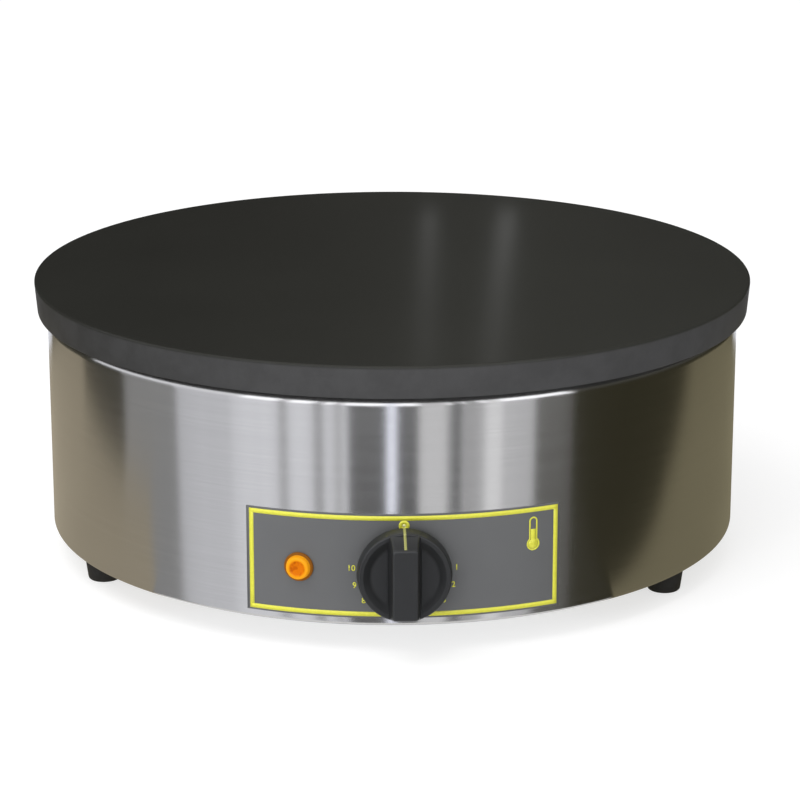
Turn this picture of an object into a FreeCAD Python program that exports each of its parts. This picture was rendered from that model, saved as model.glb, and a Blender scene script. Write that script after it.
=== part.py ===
import FreeCAD, Part
import math
import os
import re
import Sketcher

# Countertop crepe maker: a round cast-iron cooking plate on a stainless steel band.
# Millimetres. The origin is on the table under the middle of the machine, +Z is up,
# and the front, with the knob, faces -Y. Angles are in degrees from +X.

SIZES = {
    # cooking plate
    "plate_radius": 200,
    "plate_draft": 1.5,
    "plate_round": 1.2,
    "plate_web": 9,
    "rim_depth": 17.5,
    "rim_wall": 10,
    "rim_gap": 0.8,
    "lug_radius": 5,
    "boss_radius": 7.5,
    "rod_bore_depth": 11,
    # stainless steel band and its floor
    "band_radius": 193,
    "band_sheet": 1,
    "band_height": 121.9,
    "band_lip": 14,
    "band_hem": 11,
    "band_bend": 3.5,
    "hem_bend": 1.8,
    "base_sheet": 1.2,
    "base_inset": 4,
    "vent_length": 34,
    "vent_width": 8,
    "vent_circle": 52,
    "vent_count": 12,
    # rubber feet and their screws
    "foot_height": 13.6,
    "foot_top_radius": 10.6,
    "foot_sole_radius": 8.8,
    "foot_round": 1.5,
    "foot_edge": 16,
    "foot_turn": 84.8,
    "foot_screw_radius": 2.5,
    "foot_head_radius": 4.5,
    "foot_head_depth": 3,
    "foot_recess_depth": 7,
    "foot_recess_radius": 5.2,
    "foot_nut_flats": 8,
    "foot_nut_height": 4,
    "foot_screw_spare": 2,
    # tie rods that hold plate, band and floor together
    "rod_radius": 3,
    "rod_turn": 45,
    "rod_spare": 1.5,
    "rod_nut_flats": 10,
    "rod_nut_height": 5,
    "washer_radius": 6.5,
    "washer_sheet": 1.2,
    # heating elements, their clamp and the insulation
    "element_diameter": 8,
    "pan_room": 7,
    "loop_edge": 12,
    "outer_loop_pitch": 18,
    "inner_loop_pitch": 40,
    "boss_room": 2.5,
    "inner_loop_room": 8.5,
    "loop_gap_angle": 8,
    "element_bend": 10,
    "leg_offset": 4,
    "leg_below_pan": 9,
    "pin_radius": 2,
    "pin_length": 10,
    "clamp_sheet": 1.5,
    "pad_depth": 15,
    "pan_sheet": 0.8,
    "slot_margin": 3,
    "nut_room": 1.5,
    # thermostat behind the knob
    "knob_level": 45.2,
    "bracket_width": 20,
    "bracket_height": 40,
    "bracket_sheet": 1.5,
    "bracket_gap": 0.4,
    "housing_width": 32,
    "housing_depth": 24,
    "housing_height": 44,
    "bearing_depth": 10,
    "shaft_radius": 3,
    "shaft_hole_radius": 5,
    "shaft_flat": 1,
    "shaft_end_room": 1,
    "dial_screw_pitch": 28,
    "dial_screw_radius": 2,
    "dial_screw_head": 4,
    "dial_head_height": 2.2,
    "screw_recess_depth": 4,
    "screw_recess_room": 0.6,
    "tab_length": 8,
    "tab_width": 6.3,
    "tab_sheet": 0.8,
    "tab_side": 10,
    "tab_rise": 10,
    "bulb_radius": 3,
    "bulb_length": 80,
    "bulb_room": 9,
    "bulb_shift": -10,
    "saddle_length": 8,
    "saddle_width": 10,
    "saddle_spacing": 46,
    "capillary_radius": 1,
    "capillary_lead": 20,
    "capillary_drop": 36,
    "capillary_rise": 24,
    "capillary_hole": 4,
    # control knob
    "knob_gap": 5,
    "knob_radius": 24.6,
    "knob_front_radius": 23.7,
    "knob_edge": 13,
    "knob_reach": 25.3,
    "knob_wall": 2.2,
    "knob_dish": 2.5,
    "knob_lip": 1.6,
    "knob_hub_radius": 7,
    "knob_hollow": 3.5,
    "knob_bore_end": 20,
    "grip_width": 13.5,
    "grip_root_width": 18,
    "grip_length": 38,
    "grip_root_length": 48,
    # dial panel and pilot lamp on the band
    "panel_width": 165.5,
    "panel_height": 56,
    "panel_level": 47.1,
    "panel_sheet": 0.4,
    "panel_glue": 0.05,
    "lamp_arc": 54.2,
    "lamp_flange_radius": 7.7,
    "lamp_flange_height": 1.2,
    "lamp_lens_radius": 6.25,
    "lamp_lens_height": 2.8,
    "lamp_lens_round": 2,
    "lamp_stem_radius": 5.5,
    "lamp_stem_length": 7.5,
    "lamp_body_length": 18,
    "lamp_nut_radius": 8,
    "lamp_nut_height": 3,
    "lamp_tab_spacing": 8,
    "lamp_tab_width": 2.8,
    # terminal block, earth stud and wires
    "block_length": 68,
    "block_width": 22,
    "block_height": 20,
    "block_back": 62,
    "block_screw_spacing": 60,
    "block_screw_radius": 1.75,
    "block_screw_head": 3,
    "block_head_height": 2,
    "way_pitch": 14,
    "way_level": 10,
    "insert_radius": 3,
    "insert_bore": 1.5,
    "wire_radius": 1.4,
    "live_rear_run": 89,
    "live_front_run": 58,
    "heat_lead": 48,
    "heat_front_run": 98,
    "heat_rear_run": 70,
    "heat_side": 20,
    "heat_over_block": 17.2,
    "link_drop": 24,
    "pilot_lead": 30,
    "pilot_reach": 26,
    "return_reach": 34,
    "return_side": 28,
    "return_dip": 7.2,
    "return_middle_run": 149,
    "return_rear_run": 59,
    "earth_lead": 12,
    "earth_lug_lead": 10,
    "earth_room": 49,
    "earth_stud_radius": 2,
    "earth_stud_height": 9,
    "lug_ring_radius": 5,
    "lug_sheet": 1,
    "lug_barrel_radius": 2.2,
    "lug_barrel_length": 9,
    "lug_barrel_start": 8,
    "lug_neck": 6,
    "earth_nut_flats": 7,
    "earth_nut_height": 3.2,
    # cable gland at the rear
    "gland_level": 41,
    "gland_flats": 24,
    "gland_flange_height": 5,
    "gland_thread_radius": 10,
    "gland_inside_length": 13,
    "gland_spigot_radius": 9,
    "gland_spigot_length": 12,
    "gland_seal_radius": 8,
    "gland_bore": 5,
    "gland_reach": 25.3,
    "gland_dome_hex": 12,
    "gland_tip_radius": 8.5,
    "gland_nut_height": 5,
    # clearances
    "slip_fit": 0.06,
    "seat_gap": 0.2,
    "hole_room": 0.3,
}

# Heights, radii and places that follow from the sizes above
DERIVED = {
    "base_top": "foot_height + base_sheet",
    "band_top": "base_top + band_height",
    "rim_foot": "band_top + rim_gap",
    "plate_top": "rim_foot + rim_depth",
    "web_under": "plate_top - plate_web",
    "rim_foot_radius": "plate_radius - plate_draft",
    "rim_inner": "rim_foot_radius - rim_wall",
    "lug_circle": "rim_inner - lug_radius + hole_room",
    "band_inner": "band_radius - band_sheet",
    "foot_circle": "band_radius - foot_edge",
    "clamp_radius": "band_radius - band_lip - pan_room",
    "outer_loop_out": "clamp_radius - loop_edge",
    "outer_loop_in": "outer_loop_out - outer_loop_pitch",
    "rod_circle": "outer_loop_in - element_diameter / 2 - boss_room - boss_radius",
    "inner_loop_out": "rod_circle - boss_radius - inner_loop_room - element_diameter / 2",
    "inner_loop_in": "inner_loop_out - inner_loop_pitch",
    "bulb_chord": "inner_loop_out + element_diameter / 2 + bulb_room + bulb_radius",
    "element_level": "web_under - seat_gap - element_diameter / 2",
    "clamp_top": "web_under - element_diameter - 2 * seat_gap",
    "clamp_under": "clamp_top - clamp_sheet",
    "pad_under": "clamp_under - pad_depth",
    "pan_under": "pad_under - pan_sheet",
    "leg_foot": "pan_under - leg_below_pan",
    "pin_foot": "leg_foot - pin_length",
    "slot_start": "inner_loop_in - element_bend",
    "slot_length": "outer_loop_out + element_bend - slot_start",
    "slot_width": "element_diameter + element_bend + 2 * slot_margin",
    "slot_side": "leg_offset - element_diameter / 2 - slot_margin",
    "bracket_face": "band_inner - bracket_gap",
    "housing_face": "bracket_face - bracket_sheet",
    "housing_back": "housing_face - housing_depth",
    "housing_top": "knob_level + housing_height / 2",
    "tab_end": "housing_back - tab_length",
    "panel_inner": "band_radius + panel_glue",
    "panel_outer": "panel_inner + panel_sheet",
    "lamp_turn": "270 - lamp_arc / band_radius * 180 / pi",
    "lamp_seat": "panel_outer + panel_glue",
    "lamp_nut_face": "band_inner - lamp_nut_radius ^ 2 / band_radius / 2 - panel_glue",
    "lamp_body_face": "lamp_seat - lamp_stem_length",
    "lamp_tab_face": "lamp_body_face - lamp_body_length",
    "lamp_tab_end": "lamp_tab_face - tab_length",
    "bulb_level": "web_under - seat_gap - bulb_radius",
    "bulb_end": "bulb_shift + bulb_length / 2",
    "block_middle": "leg_offset - way_pitch / 2",
    "block_row": "band_inner - block_back",
    "heat_level": "base_top + block_height + heat_over_block",
    "block_face": "block_row - block_width / 2",
    "way_height": "base_top + way_level",
    "earth_x": "leg_offset + way_pitch",
    "earth_row": "block_face - earth_room",
    "gland_nut_face": "band_inner - gland_flats ^ 2 / 3 / band_radius / 2 - panel_glue",
}

CORNERS_PER_FLATS = "/ 2 / cos(30)"
# How near an edge's radius and level must lie to the ones asked for, to be that edge
EDGE_MATCH = 0.01
# How far a swept bar's volume may be from its section times its length, as a share
VOLUME_MATCH = 0.01

doc = FreeCAD.newDocument("crepe_maker")
sheet = doc.addObject("Spreadsheet::Sheet", "Sizes")
for row, (alias, size) in enumerate(SIZES.items(), 1):
    sheet.set("A%d" % row, alias)
    sheet.set("B%d" % row, str(size))
    sheet.setAlias("B%d" % row, alias)
doc.recompute()

nodes = []


def bound(text):
    """Turns plain names of sizes into an expression that reads the sheet."""
    def swap(found):
        word = found.group(0)
        if word in SIZES:
            return "Sizes." + word
        if word in DERIVED:
            return "(" + bound(DERIVED[word]) + ")"
        return word
    return re.sub(r"[a-z_]+\b(?!\()", swap, str(text))


def value(text):
    """The number that an expression of sizes stands for."""
    return float(sheet.evalExpression(bound(text)))


def bind(thing, **properties):
    """Ties properties of a document object to expressions of sizes."""
    for name, text in properties.items():
        thing.setExpression(name, bound(text))
    return thing


def place(x="0", y="0", z="0", turn="rotationz(0)"):
    """A placement at a point, turned."""
    return "placement(vector(%s; %s; %s); %s)" % (x, y, z, turn)


def spot(angle, radius, level, turn="rotationz(0)"):
    """A placement on a ray from the machine's axis, with local X pointing outwards."""
    return place(z=level, turn="rotationz(%s)" % angle) + " * " + place(x=radius, turn=turn)


def outwards(angle, radius, level):
    """A placement on a ray whose local Z points away from the machine's axis."""
    return spot(angle, radius, level, "rotationy(90)")


def keep(thing, label):
    """Names a sub-part and lists it for export."""
    thing.Label = label
    nodes.append(thing)
    return thing


def cylinder(name, radius, height, where):
    made = doc.addObject("Part::Cylinder", name)
    return bind(made, Radius=radius, Height=height, Placement=where)


def box(name, length, width, height, where):
    made = doc.addObject("Part::Box", name)
    return bind(made, Length=length, Width=width, Height=height, Placement=where)


def prism(name, flats, height, where):
    """A hexagonal bar, sized across its flats."""
    made = doc.addObject("Part::Prism", name)
    made.Polygon = 6
    return bind(made, Circumradius=flats + CORNERS_PER_FLATS, Height=height, Placement=where)


def fused(name, pieces):
    made = doc.addObject("Part::MultiFuse", name)
    made.Shapes = pieces
    return made


def group(name, pieces):
    """Separate solids that share one node."""
    made = doc.addObject("Part::Compound", name)
    made.Links = pieces
    return made


def cut(name, base, tools):
    """The base with all tools taken away from it."""
    made = doc.addObject("Part::Cut", name)
    made.Base = base
    made.Tool = tools[0] if len(tools) == 1 else group(name + "_tools", tools)
    return made


def common(name, first, second):
    made = doc.addObject("Part::Common", name)
    made.Base = first
    made.Tool = second
    return made


def origin_feature(body, role):
    for feature in body.Origin.OriginFeatures:
        if feature.Role == role:
            return feature
    raise LookupError(role)


def new_sketch(body, name, role, level="0"):
    """An empty sketch on one of the body's own planes, raised to a level."""
    sketch = body.newObject("Sketcher::SketchObject", name)
    sketch.AttachmentSupport = [(origin_feature(body, role), "")]
    sketch.MapMode = "FlatFace"
    sketch.setExpression("AttachmentOffset.Base.z", bound(level))
    doc.recompute()
    return sketch


def pin_point(sketch, geometry, end, x, y):
    """Ties one point of a sketch to its place across and up from the sketch's origin."""
    for kind, text in (("DistanceX", x), ("DistanceY", y)):
        rule = Sketcher.Constraint(kind, -1, 1, geometry, end, value(text))
        number = sketch.addConstraint(rule)
        sketch.setExpression("Constraints[%d]" % number, bound(text))


def polygon_sketch(body, name, role, corners, level="0"):
    """A closed outline of straight sides through corners given as expressions."""
    sketch = new_sketch(body, name, role, level)
    points = [FreeCAD.Vector(value(x), value(y), 0) for x, y in corners]
    for number, point in enumerate(points):
        after = points[(number + 1) % len(points)]
        sketch.addGeometry(Part.LineSegment(point, after), False)
    for number, (x, y) in enumerate(corners):
        after = (number + 1) % len(points)
        sketch.addConstraint(Sketcher.Constraint("Coincident", number, 2, after, 1))
        pin_point(sketch, number, 1, x, y)
    return sketch


def circle_sketch(body, name, circles, level):
    """Circles on a level plane, each given as across, back and radius."""
    sketch = new_sketch(body, name, "XY_Plane", level)
    for number, (x, y, radius) in enumerate(circles):
        middle = FreeCAD.Vector(value(x), value(y), 0)
        sketch.addGeometry(Part.Circle(middle, FreeCAD.Vector(0, 0, 1), value(radius)), False)
        pin_point(sketch, number, 3, x, y)
        rule = sketch.addConstraint(Sketcher.Constraint("Radius", number, value(radius)))
        sketch.setExpression("Constraints[%d]" % rule, bound(radius))
    return sketch


def turned_body(name, corners, where="", angle="360"):
    """A body turned about its own Z from an outline of radius and height."""
    body = doc.addObject("PartDesign::Body", name)
    sketch = polygon_sketch(body, name + "_outline", "XZ_Plane", corners)
    turned = body.newObject("PartDesign::Revolution", name + "_turned")
    turned.Profile = sketch
    turned.ReferenceAxis = (sketch, ["V_Axis"])
    turned.Midplane = True
    bind(turned, Angle=angle)
    if where:
        bind(body, Placement=where)
    doc.recompute()
    return body


def pad(body, sketch, name, length):
    made = body.newObject("PartDesign::Pad", name)
    made.Profile = sketch
    bind(made, Length=length)
    return made


def pocket_up(body, sketch, name, length):
    """A pocket that goes up from its sketch."""
    made = body.newObject("PartDesign::Pocket", name)
    made.Profile = sketch
    made.Reversed = True
    bind(made, Length=length)
    return made


def repeat_round(body, feature, name, count):
    """Copies a feature round the body's own Z."""
    made = body.newObject("PartDesign::PolarPattern", name)
    made.Originals = [feature]
    made.Axis = (origin_feature(body, "Z_Axis"), [""])
    made.Angle = 360
    bind(made, Occurrences=count)
    body.Tip = made
    doc.recompute()
    return made


def round_edge(body, name, radius, level, size):
    """Rounds the circular edges of a radius that lie at a level of the body."""
    base = body.Tip
    edges = []
    for number, edge in enumerate(base.Shape.Edges, 1):
        if not isinstance(edge.Curve, Part.Circle):
            continue
        same_radius = abs(edge.Curve.Radius - value(radius)) < EDGE_MATCH
        if same_radius and abs(edge.Curve.Center.z - value(level)) < EDGE_MATCH:
            edges.append("Edge%d" % number)
    made = body.newObject("PartDesign::Fillet", name)
    made.Base = (base, edges)
    bind(made, Radius=size)
    body.Tip = made
    doc.recompute()
    return made


def nut(name, flats, height, hole, where):
    """A hexagon nut with its bottom face at the place."""
    bar = prism(name + "_hex", flats, height, where)
    bore = cylinder(name + "_bore", hole, height, where)
    return cut(name, bar, [bore])


def around(first, count):
    """Angles of things spaced evenly round the machine."""
    return ["%s + %g" % (first, 360 / count * step) for step in range(count)]


ROD_COUNT = 4
ROD_ANGLES = around("rod_turn", ROD_COUNT)
FOOT_NAMES = ("rear", "front_left", "front_right")
FOOT_ANGLES = around("foot_turn", len(FOOT_NAMES))


def make_cooking_plate():
    """Cast iron plate: flat top, hanging rim, four lugs and four bosses for the rods."""
    body = turned_body("cooking_plate_body", (
        ("0", "web_under"),
        ("rim_inner", "web_under"),
        ("rim_inner", "rim_foot"),
        ("rim_foot_radius", "rim_foot"),
        ("plate_radius", "plate_top"),
        ("0", "plate_top"),
    ))
    round_edge(body, "plate_edge", "plate_radius", "plate_top", "plate_round")
    across = "rod_circle * cos(rod_turn)"
    back = "rod_circle * sin(rod_turn)"
    boss = circle_sketch(body, "boss_sketch", [(across, back, "boss_radius")], "clamp_top")
    boss = pad(body, boss, "boss", "web_under - clamp_top")
    repeat_round(body, boss, "bosses", ROD_COUNT)
    lug_spot = ("lug_circle * cos(rod_turn)", "lug_circle * sin(rod_turn)", "lug_radius")
    lug = circle_sketch(body, "lug_sketch", [lug_spot], "band_top")
    lug = pad(body, lug, "lug", "web_under - band_top")
    repeat_round(body, lug, "lugs", ROD_COUNT)
    bore = circle_sketch(body, "bore_sketch", [(across, back, "rod_radius + slip_fit")], "clamp_top")
    bore = pocket_up(body, bore, "bore", "rod_bore_depth")
    repeat_round(body, bore, "bores", ROD_COUNT)
    keep(body, "cooking_plate")


def front_hole(name, radius, rise="0"):
    """A drill that comes in from the front, on the knob's line."""
    where = place("0", "0 - band_radius - band_lip", "knob_level + " + rise, "rotationx(-90)")
    return cylinder(name, radius, "2 * band_lip", where)


def front_holes(name):
    """Holes for the shaft, the two thermostat screws and the lamp's stem."""
    half = "dial_screw_pitch / 2"
    lamp = outwards("lamp_turn", "band_radius - band_lip", "knob_level")
    return [
        front_hole(name + "_shaft", "shaft_hole_radius"),
        front_hole(name + "_upper", "dial_screw_radius + hole_room", half),
        front_hole(name + "_lower", "dial_screw_radius + hole_room", "0 - " + half),
        cylinder(name + "_lamp", "lamp_stem_radius + hole_room", "2 * band_lip", lamp),
    ]


def make_body_band():
    """Stainless steel band, rolled and turned in at its top and bottom edges."""
    shell = turned_body("band_shell", (
        ("band_radius - band_hem", "base_top"),
        ("band_radius", "base_top"),
        ("band_radius", "band_top"),
        ("band_radius - band_lip", "band_top"),
        ("band_radius - band_lip", "band_top - band_sheet"),
        ("band_inner", "band_top - band_sheet"),
        ("band_inner", "base_top + band_sheet"),
        ("band_radius - band_hem", "base_top + band_sheet"),
    ))
    round_edge(shell, "band_shoulder", "band_radius", "band_top", "band_bend")
    round_edge(shell, "band_shoulder_inside", "band_inner", "band_top - band_sheet", "band_bend - band_sheet")
    round_edge(shell, "band_foot", "band_radius", "base_top", "hem_bend")
    round_edge(shell, "band_foot_inside", "band_inner", "base_top + band_sheet", "hem_bend - band_sheet")
    gland = outwards("90", "band_radius - band_lip", "gland_level")
    gland_hole = cylinder("band_gland_hole", "gland_thread_radius + hole_room", "2 * band_lip", gland)
    keep(cut("band", shell, front_holes("band_hole") + [gland_hole]), "body_band")


def make_dial_panel():
    """Thin printed panel that is glued round the front of the band."""
    low = "panel_level - panel_height / 2"
    high = "panel_level + panel_height / 2"
    shell = turned_body("panel_shell", (
        ("panel_inner", low),
        ("panel_outer", low),
        ("panel_outer", high),
        ("panel_inner", high),
    ), place(turn="rotationz(-90)"), "panel_width / band_radius * 180 / pi")
    keep(cut("panel", shell, front_holes("panel_hole")), "dial_panel")


def make_base_plate():
    """Steel floor with a ring of vent slots and holes for rods, feet and block."""
    body = doc.addObject("PartDesign::Body", "base_body")
    disc = circle_sketch(body, "base_disc", [("0", "0", "band_radius - base_inset")], "foot_height")
    body.Tip = pad(body, disc, "base_sheet_pad", "base_sheet")
    half = "vent_width / 2"
    far = "vent_circle + vent_length"
    corners = (("vent_circle", "0 - " + half), (far, "0 - " + half), (far, half), ("vent_circle", half))
    vent = polygon_sketch(body, "vent_sketch", "XY_Plane", corners, "foot_height")
    vent = pocket_up(body, vent, "vent", "base_sheet")
    repeat_round(body, vent, "vents", "vent_count")
    holes = []
    under = "foot_height - base_sheet"
    for number, angle in enumerate(ROD_ANGLES):
        where = spot(angle, "rod_circle", under)
        holes.append(cylinder("base_rod_hole_%d" % number, "rod_radius + hole_room", "3 * base_sheet", where))
    for number, angle in enumerate(FOOT_ANGLES):
        where = spot(angle, "foot_circle", under)
        hole = "foot_screw_radius + hole_room"
        holes.append(cylinder("base_foot_hole_%d" % number, hole, "3 * base_sheet", where))
    for side, sign in (("left", "-"), ("right", "+")):
        where = place("block_middle %s block_screw_spacing / 2" % sign, "block_row", under)
        hole = "block_screw_radius + hole_room"
        holes.append(cylinder("base_block_hole_" + side, hole, "3 * base_sheet", where))
    keep(cut("base", body, holes), "base_plate")


def make_feet():
    """Three rubber feet, each with a screw up through the base plate and a nut on it."""
    screws = []
    nuts = []
    shank = "foot_height - foot_recess_depth + base_sheet + foot_nut_height + foot_screw_spare"
    for name, angle in zip(FOOT_NAMES, FOOT_ANGLES):
        hole = "foot_screw_radius + slip_fit"
        foot = turned_body("foot_%s_body" % name, (
            ("foot_recess_radius", "0"),
            ("foot_sole_radius", "0"),
            ("foot_top_radius", "foot_height"),
            (hole, "foot_height"),
            (hole, "foot_recess_depth"),
            ("foot_recess_radius", "foot_recess_depth"),
        ), spot(angle, "foot_circle", "0"))
        round_edge(foot, "foot_%s_sole" % name, "foot_sole_radius", "0", "foot_round")
        keep(foot, "foot_" + name)
        head_place = spot(angle, "foot_circle", "foot_recess_depth - foot_head_depth")
        head = cylinder("foot_head_" + name, "foot_head_radius", "foot_head_depth", head_place)
        stem_place = spot(angle, "foot_circle", "foot_recess_depth")
        stem = cylinder("foot_stem_" + name, "foot_screw_radius", shank, stem_place)
        screws.append(fused("foot_screw_" + name, [head, stem]))
        where = spot(angle, "foot_circle", "base_top")
        nuts.append(nut("foot_nut_" + name, "foot_nut_flats", "foot_nut_height", hole, where))
    keep(group("foot_screw_set", screws), "foot_screws")
    keep(group("foot_nut_set", nuts), "foot_nuts")


def make_tie_rods():
    """Rods from the plate's bosses down to the floor, with nuts at clamp, pan and floor."""
    rods = []
    washers = []
    clamp_nuts = []
    pan_nuts = []
    base_nuts = []
    hole = "rod_radius + slip_fit"
    foot = "foot_height - washer_sheet - rod_nut_height - rod_spare"
    top = "clamp_top + rod_bore_depth - rod_spare"
    for number, angle in enumerate(ROD_ANGLES):
        where = spot(angle, "rod_circle", foot)
        rods.append(cylinder("rod_%d" % number, "rod_radius", "%s - (%s)" % (top, foot), where))
        where = spot(angle, "rod_circle", "clamp_under - rod_nut_height")
        clamp_nuts.append(nut("clamp_nut_%d" % number, "rod_nut_flats", "rod_nut_height", hole, where))
        where = spot(angle, "rod_circle", "pan_under - rod_nut_height")
        pan_nuts.append(nut("pan_nut_%d" % number, "rod_nut_flats", "rod_nut_height", hole, where))
        where = spot(angle, "rod_circle", "foot_height - washer_sheet")
        disc = cylinder("washer_disc_%d" % number, "washer_radius", "washer_sheet", where)
        bore = cylinder("washer_bore_%d" % number, hole, "washer_sheet", where)
        washers.append(cut("washer_%d" % number, disc, [bore]))
        where = spot(angle, "rod_circle", "foot_height - washer_sheet - rod_nut_height")
        base_nuts.append(nut("base_nut_%d" % number, "rod_nut_flats", "rod_nut_height", hole, where))
    keep(group("rod_set", rods), "tie_rods")
    keep(group("clamp_nut_set", clamp_nuts), "clamp_nuts")
    keep(group("pan_nut_set", pan_nuts), "pan_nuts")
    keep(group("washer_set", washers), "base_washers")
    keep(group("base_nut_set", base_nuts), "base_nuts")


def rod_holes(name, radius, level, depth):
    """Drills on the four rods' lines."""
    return [cylinder("%s_%d" % (name, number), radius, depth, spot(angle, "rod_circle", level))
            for number, angle in enumerate(ROD_ANGLES)]


def heater_holes(name, level, depth):
    """The slot for the element legs and the hole for the capillary."""
    slot_place = place("slot_side", "slot_start", level)
    slot = box(name + "_slot", "slot_width", "slot_length", depth, slot_place)
    pipe_place = place("bulb_end + capillary_lead", "0 - bulb_chord", level)
    return [slot, cylinder(name + "_capillary", "capillary_hole", depth, pipe_place)]


def make_clamp_and_insulation():
    """Clamp sheet under the elements, then the insulation pad in its steel pan."""
    sheet_disc = cylinder("clamp_disc", "clamp_radius", "clamp_sheet", place(z="clamp_under"))
    holes = rod_holes("clamp_rod_hole", "rod_radius + hole_room", "clamp_under", "clamp_sheet")
    holes += heater_holes("clamp_hole", "clamp_under", "clamp_sheet")
    keep(cut("clamp", sheet_disc, holes), "element_clamp")
    wool = cylinder("pad_disc", "clamp_radius - pan_sheet - seat_gap", "pad_depth", place(z="pad_under"))
    room = "rod_nut_flats" + CORNERS_PER_FLATS + " + nut_room"
    holes = rod_holes("pad_rod_hole", room, "pad_under", "pad_depth")
    holes += heater_holes("pad_hole", "pad_under", "pad_depth")
    keep(cut("pad", wool, holes), "insulation_pad")
    tray = turned_body("pan_body", (
        ("0", "pan_under"),
        ("clamp_radius", "pan_under"),
        ("clamp_radius", "clamp_under"),
        ("clamp_radius - pan_sheet", "clamp_under"),
        ("clamp_radius - pan_sheet", "pad_under"),
        ("0", "pad_under"),
    ))
    holes = rod_holes("pan_rod_hole", "rod_radius + hole_room", "pan_under", "pan_sheet")
    holes += heater_holes("pan_hole", "pan_under", "pan_sheet")
    keep(cut("pan", tray, holes), "insulation_pan")


def sweep_round(path, radius):
    """A solid round bar along a path of tangent edges."""
    wire = Part.Wire(path)
    start = wire.Edges[0]
    first = start.firstVertex(True).Point
    heading = start.tangentAt(start.FirstParameter)
    section = Part.Wire([Part.Circle(first, heading, radius).toShape()])
    solid = wire.makePipeShell([section], True, False)
    expected = math.pi * radius ** 2 * wire.Length
    if abs(solid.Volume - expected) > VOLUME_MATCH * expected:
        raise ValueError("swept bar has the wrong volume")
    return solid


def feature(name, shape):
    """A document object that holds a shape made from the sheet's sizes."""
    made = doc.addObject("Part::Feature", name)
    made.Shape = shape
    made.Placement = FreeCAD.Placement()
    return made


def leg_back(loop):
    """How far back an element's leg stands, as an expression, for a loop's radius."""
    return "sqrt(%s ^ 2 + element_bend ^ 2 - leg_offset ^ 2)" % loop


def make_element(label, loop_out, loop_in):
    """Tubular element: leg, bend, long arc, U-turn, long arc back, bend and leg."""
    bend = value("element_bend")
    level = value("element_level")
    leg_x = value("leg_offset")
    foot = value("leg_foot")
    turn_angle = math.radians(90 + value("loop_gap_angle") - 360)

    def on_loop(radius, angle, drop=0.0):
        return FreeCAD.Vector(radius * math.cos(angle), radius * math.sin(angle), level - drop)

    def end_angle(radius):
        lean = math.asin(leg_x / math.hypot(radius, bend)) + math.atan2(bend, radius)
        return math.pi / 2 - lean

    def leg_arc(radius):
        angle = end_angle(radius)
        away = FreeCAD.Vector(math.sin(angle), -math.cos(angle), 0)
        top = on_loop(radius, angle)
        down = FreeCAD.Vector(0, 0, -bend)
        middle = top - away * bend * math.sin(math.pi / 4) + down * (1 - math.cos(math.pi / 4))
        low = top - away * bend + down
        return top, middle, low

    out = value(loop_out)
    inside = value(loop_in)
    top, middle, low = leg_arc(out)
    back_top, back_middle, back_low = leg_arc(inside)
    angle = end_angle(out)
    back_angle = end_angle(inside)
    heading = FreeCAD.Vector(math.sin(turn_angle), -math.cos(turn_angle), 0)
    turn_top = on_loop((out + inside) / 2, turn_angle) + heading * ((out - inside) / 2)
    path = [
        Part.LineSegment(FreeCAD.Vector(low.x, low.y, foot), low).toShape(),
        Part.Arc(low, middle, top).toShape(),
        Part.Arc(top, on_loop(out, (angle + turn_angle) / 2), on_loop(out, turn_angle)).toShape(),
        Part.Arc(on_loop(out, turn_angle), turn_top, on_loop(inside, turn_angle)).toShape(),
        Part.Arc(on_loop(inside, turn_angle), on_loop(inside, (back_angle + turn_angle) / 2),
                 back_top).toShape(),
        Part.Arc(back_top, back_middle, back_low).toShape(),
        Part.LineSegment(back_low, FreeCAD.Vector(back_low.x, back_low.y, foot)).toShape(),
    ]
    keep(feature(label + "_tube", sweep_round(path, value("element_diameter / 2"))), label)


def make_element_pins():
    """Cold pins that stand out of the four element legs."""
    loops = ("outer_loop_out", "outer_loop_in", "inner_loop_out", "inner_loop_in")
    pins = [cylinder("pin_" + loop, "pin_radius", "pin_length", place("leg_offset", leg_back(loop), "pin_foot"))
            for loop in loops]
    keep(group("pin_set", pins), "element_pins")


THERMOSTAT_TABS = (
    ("live", "0 - tab_side", "knob_level + tab_rise"),
    ("heat", "tab_side", "knob_level + tab_rise"),
    ("pilot", "0 - tab_side", "knob_level - tab_rise"),
)


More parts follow.
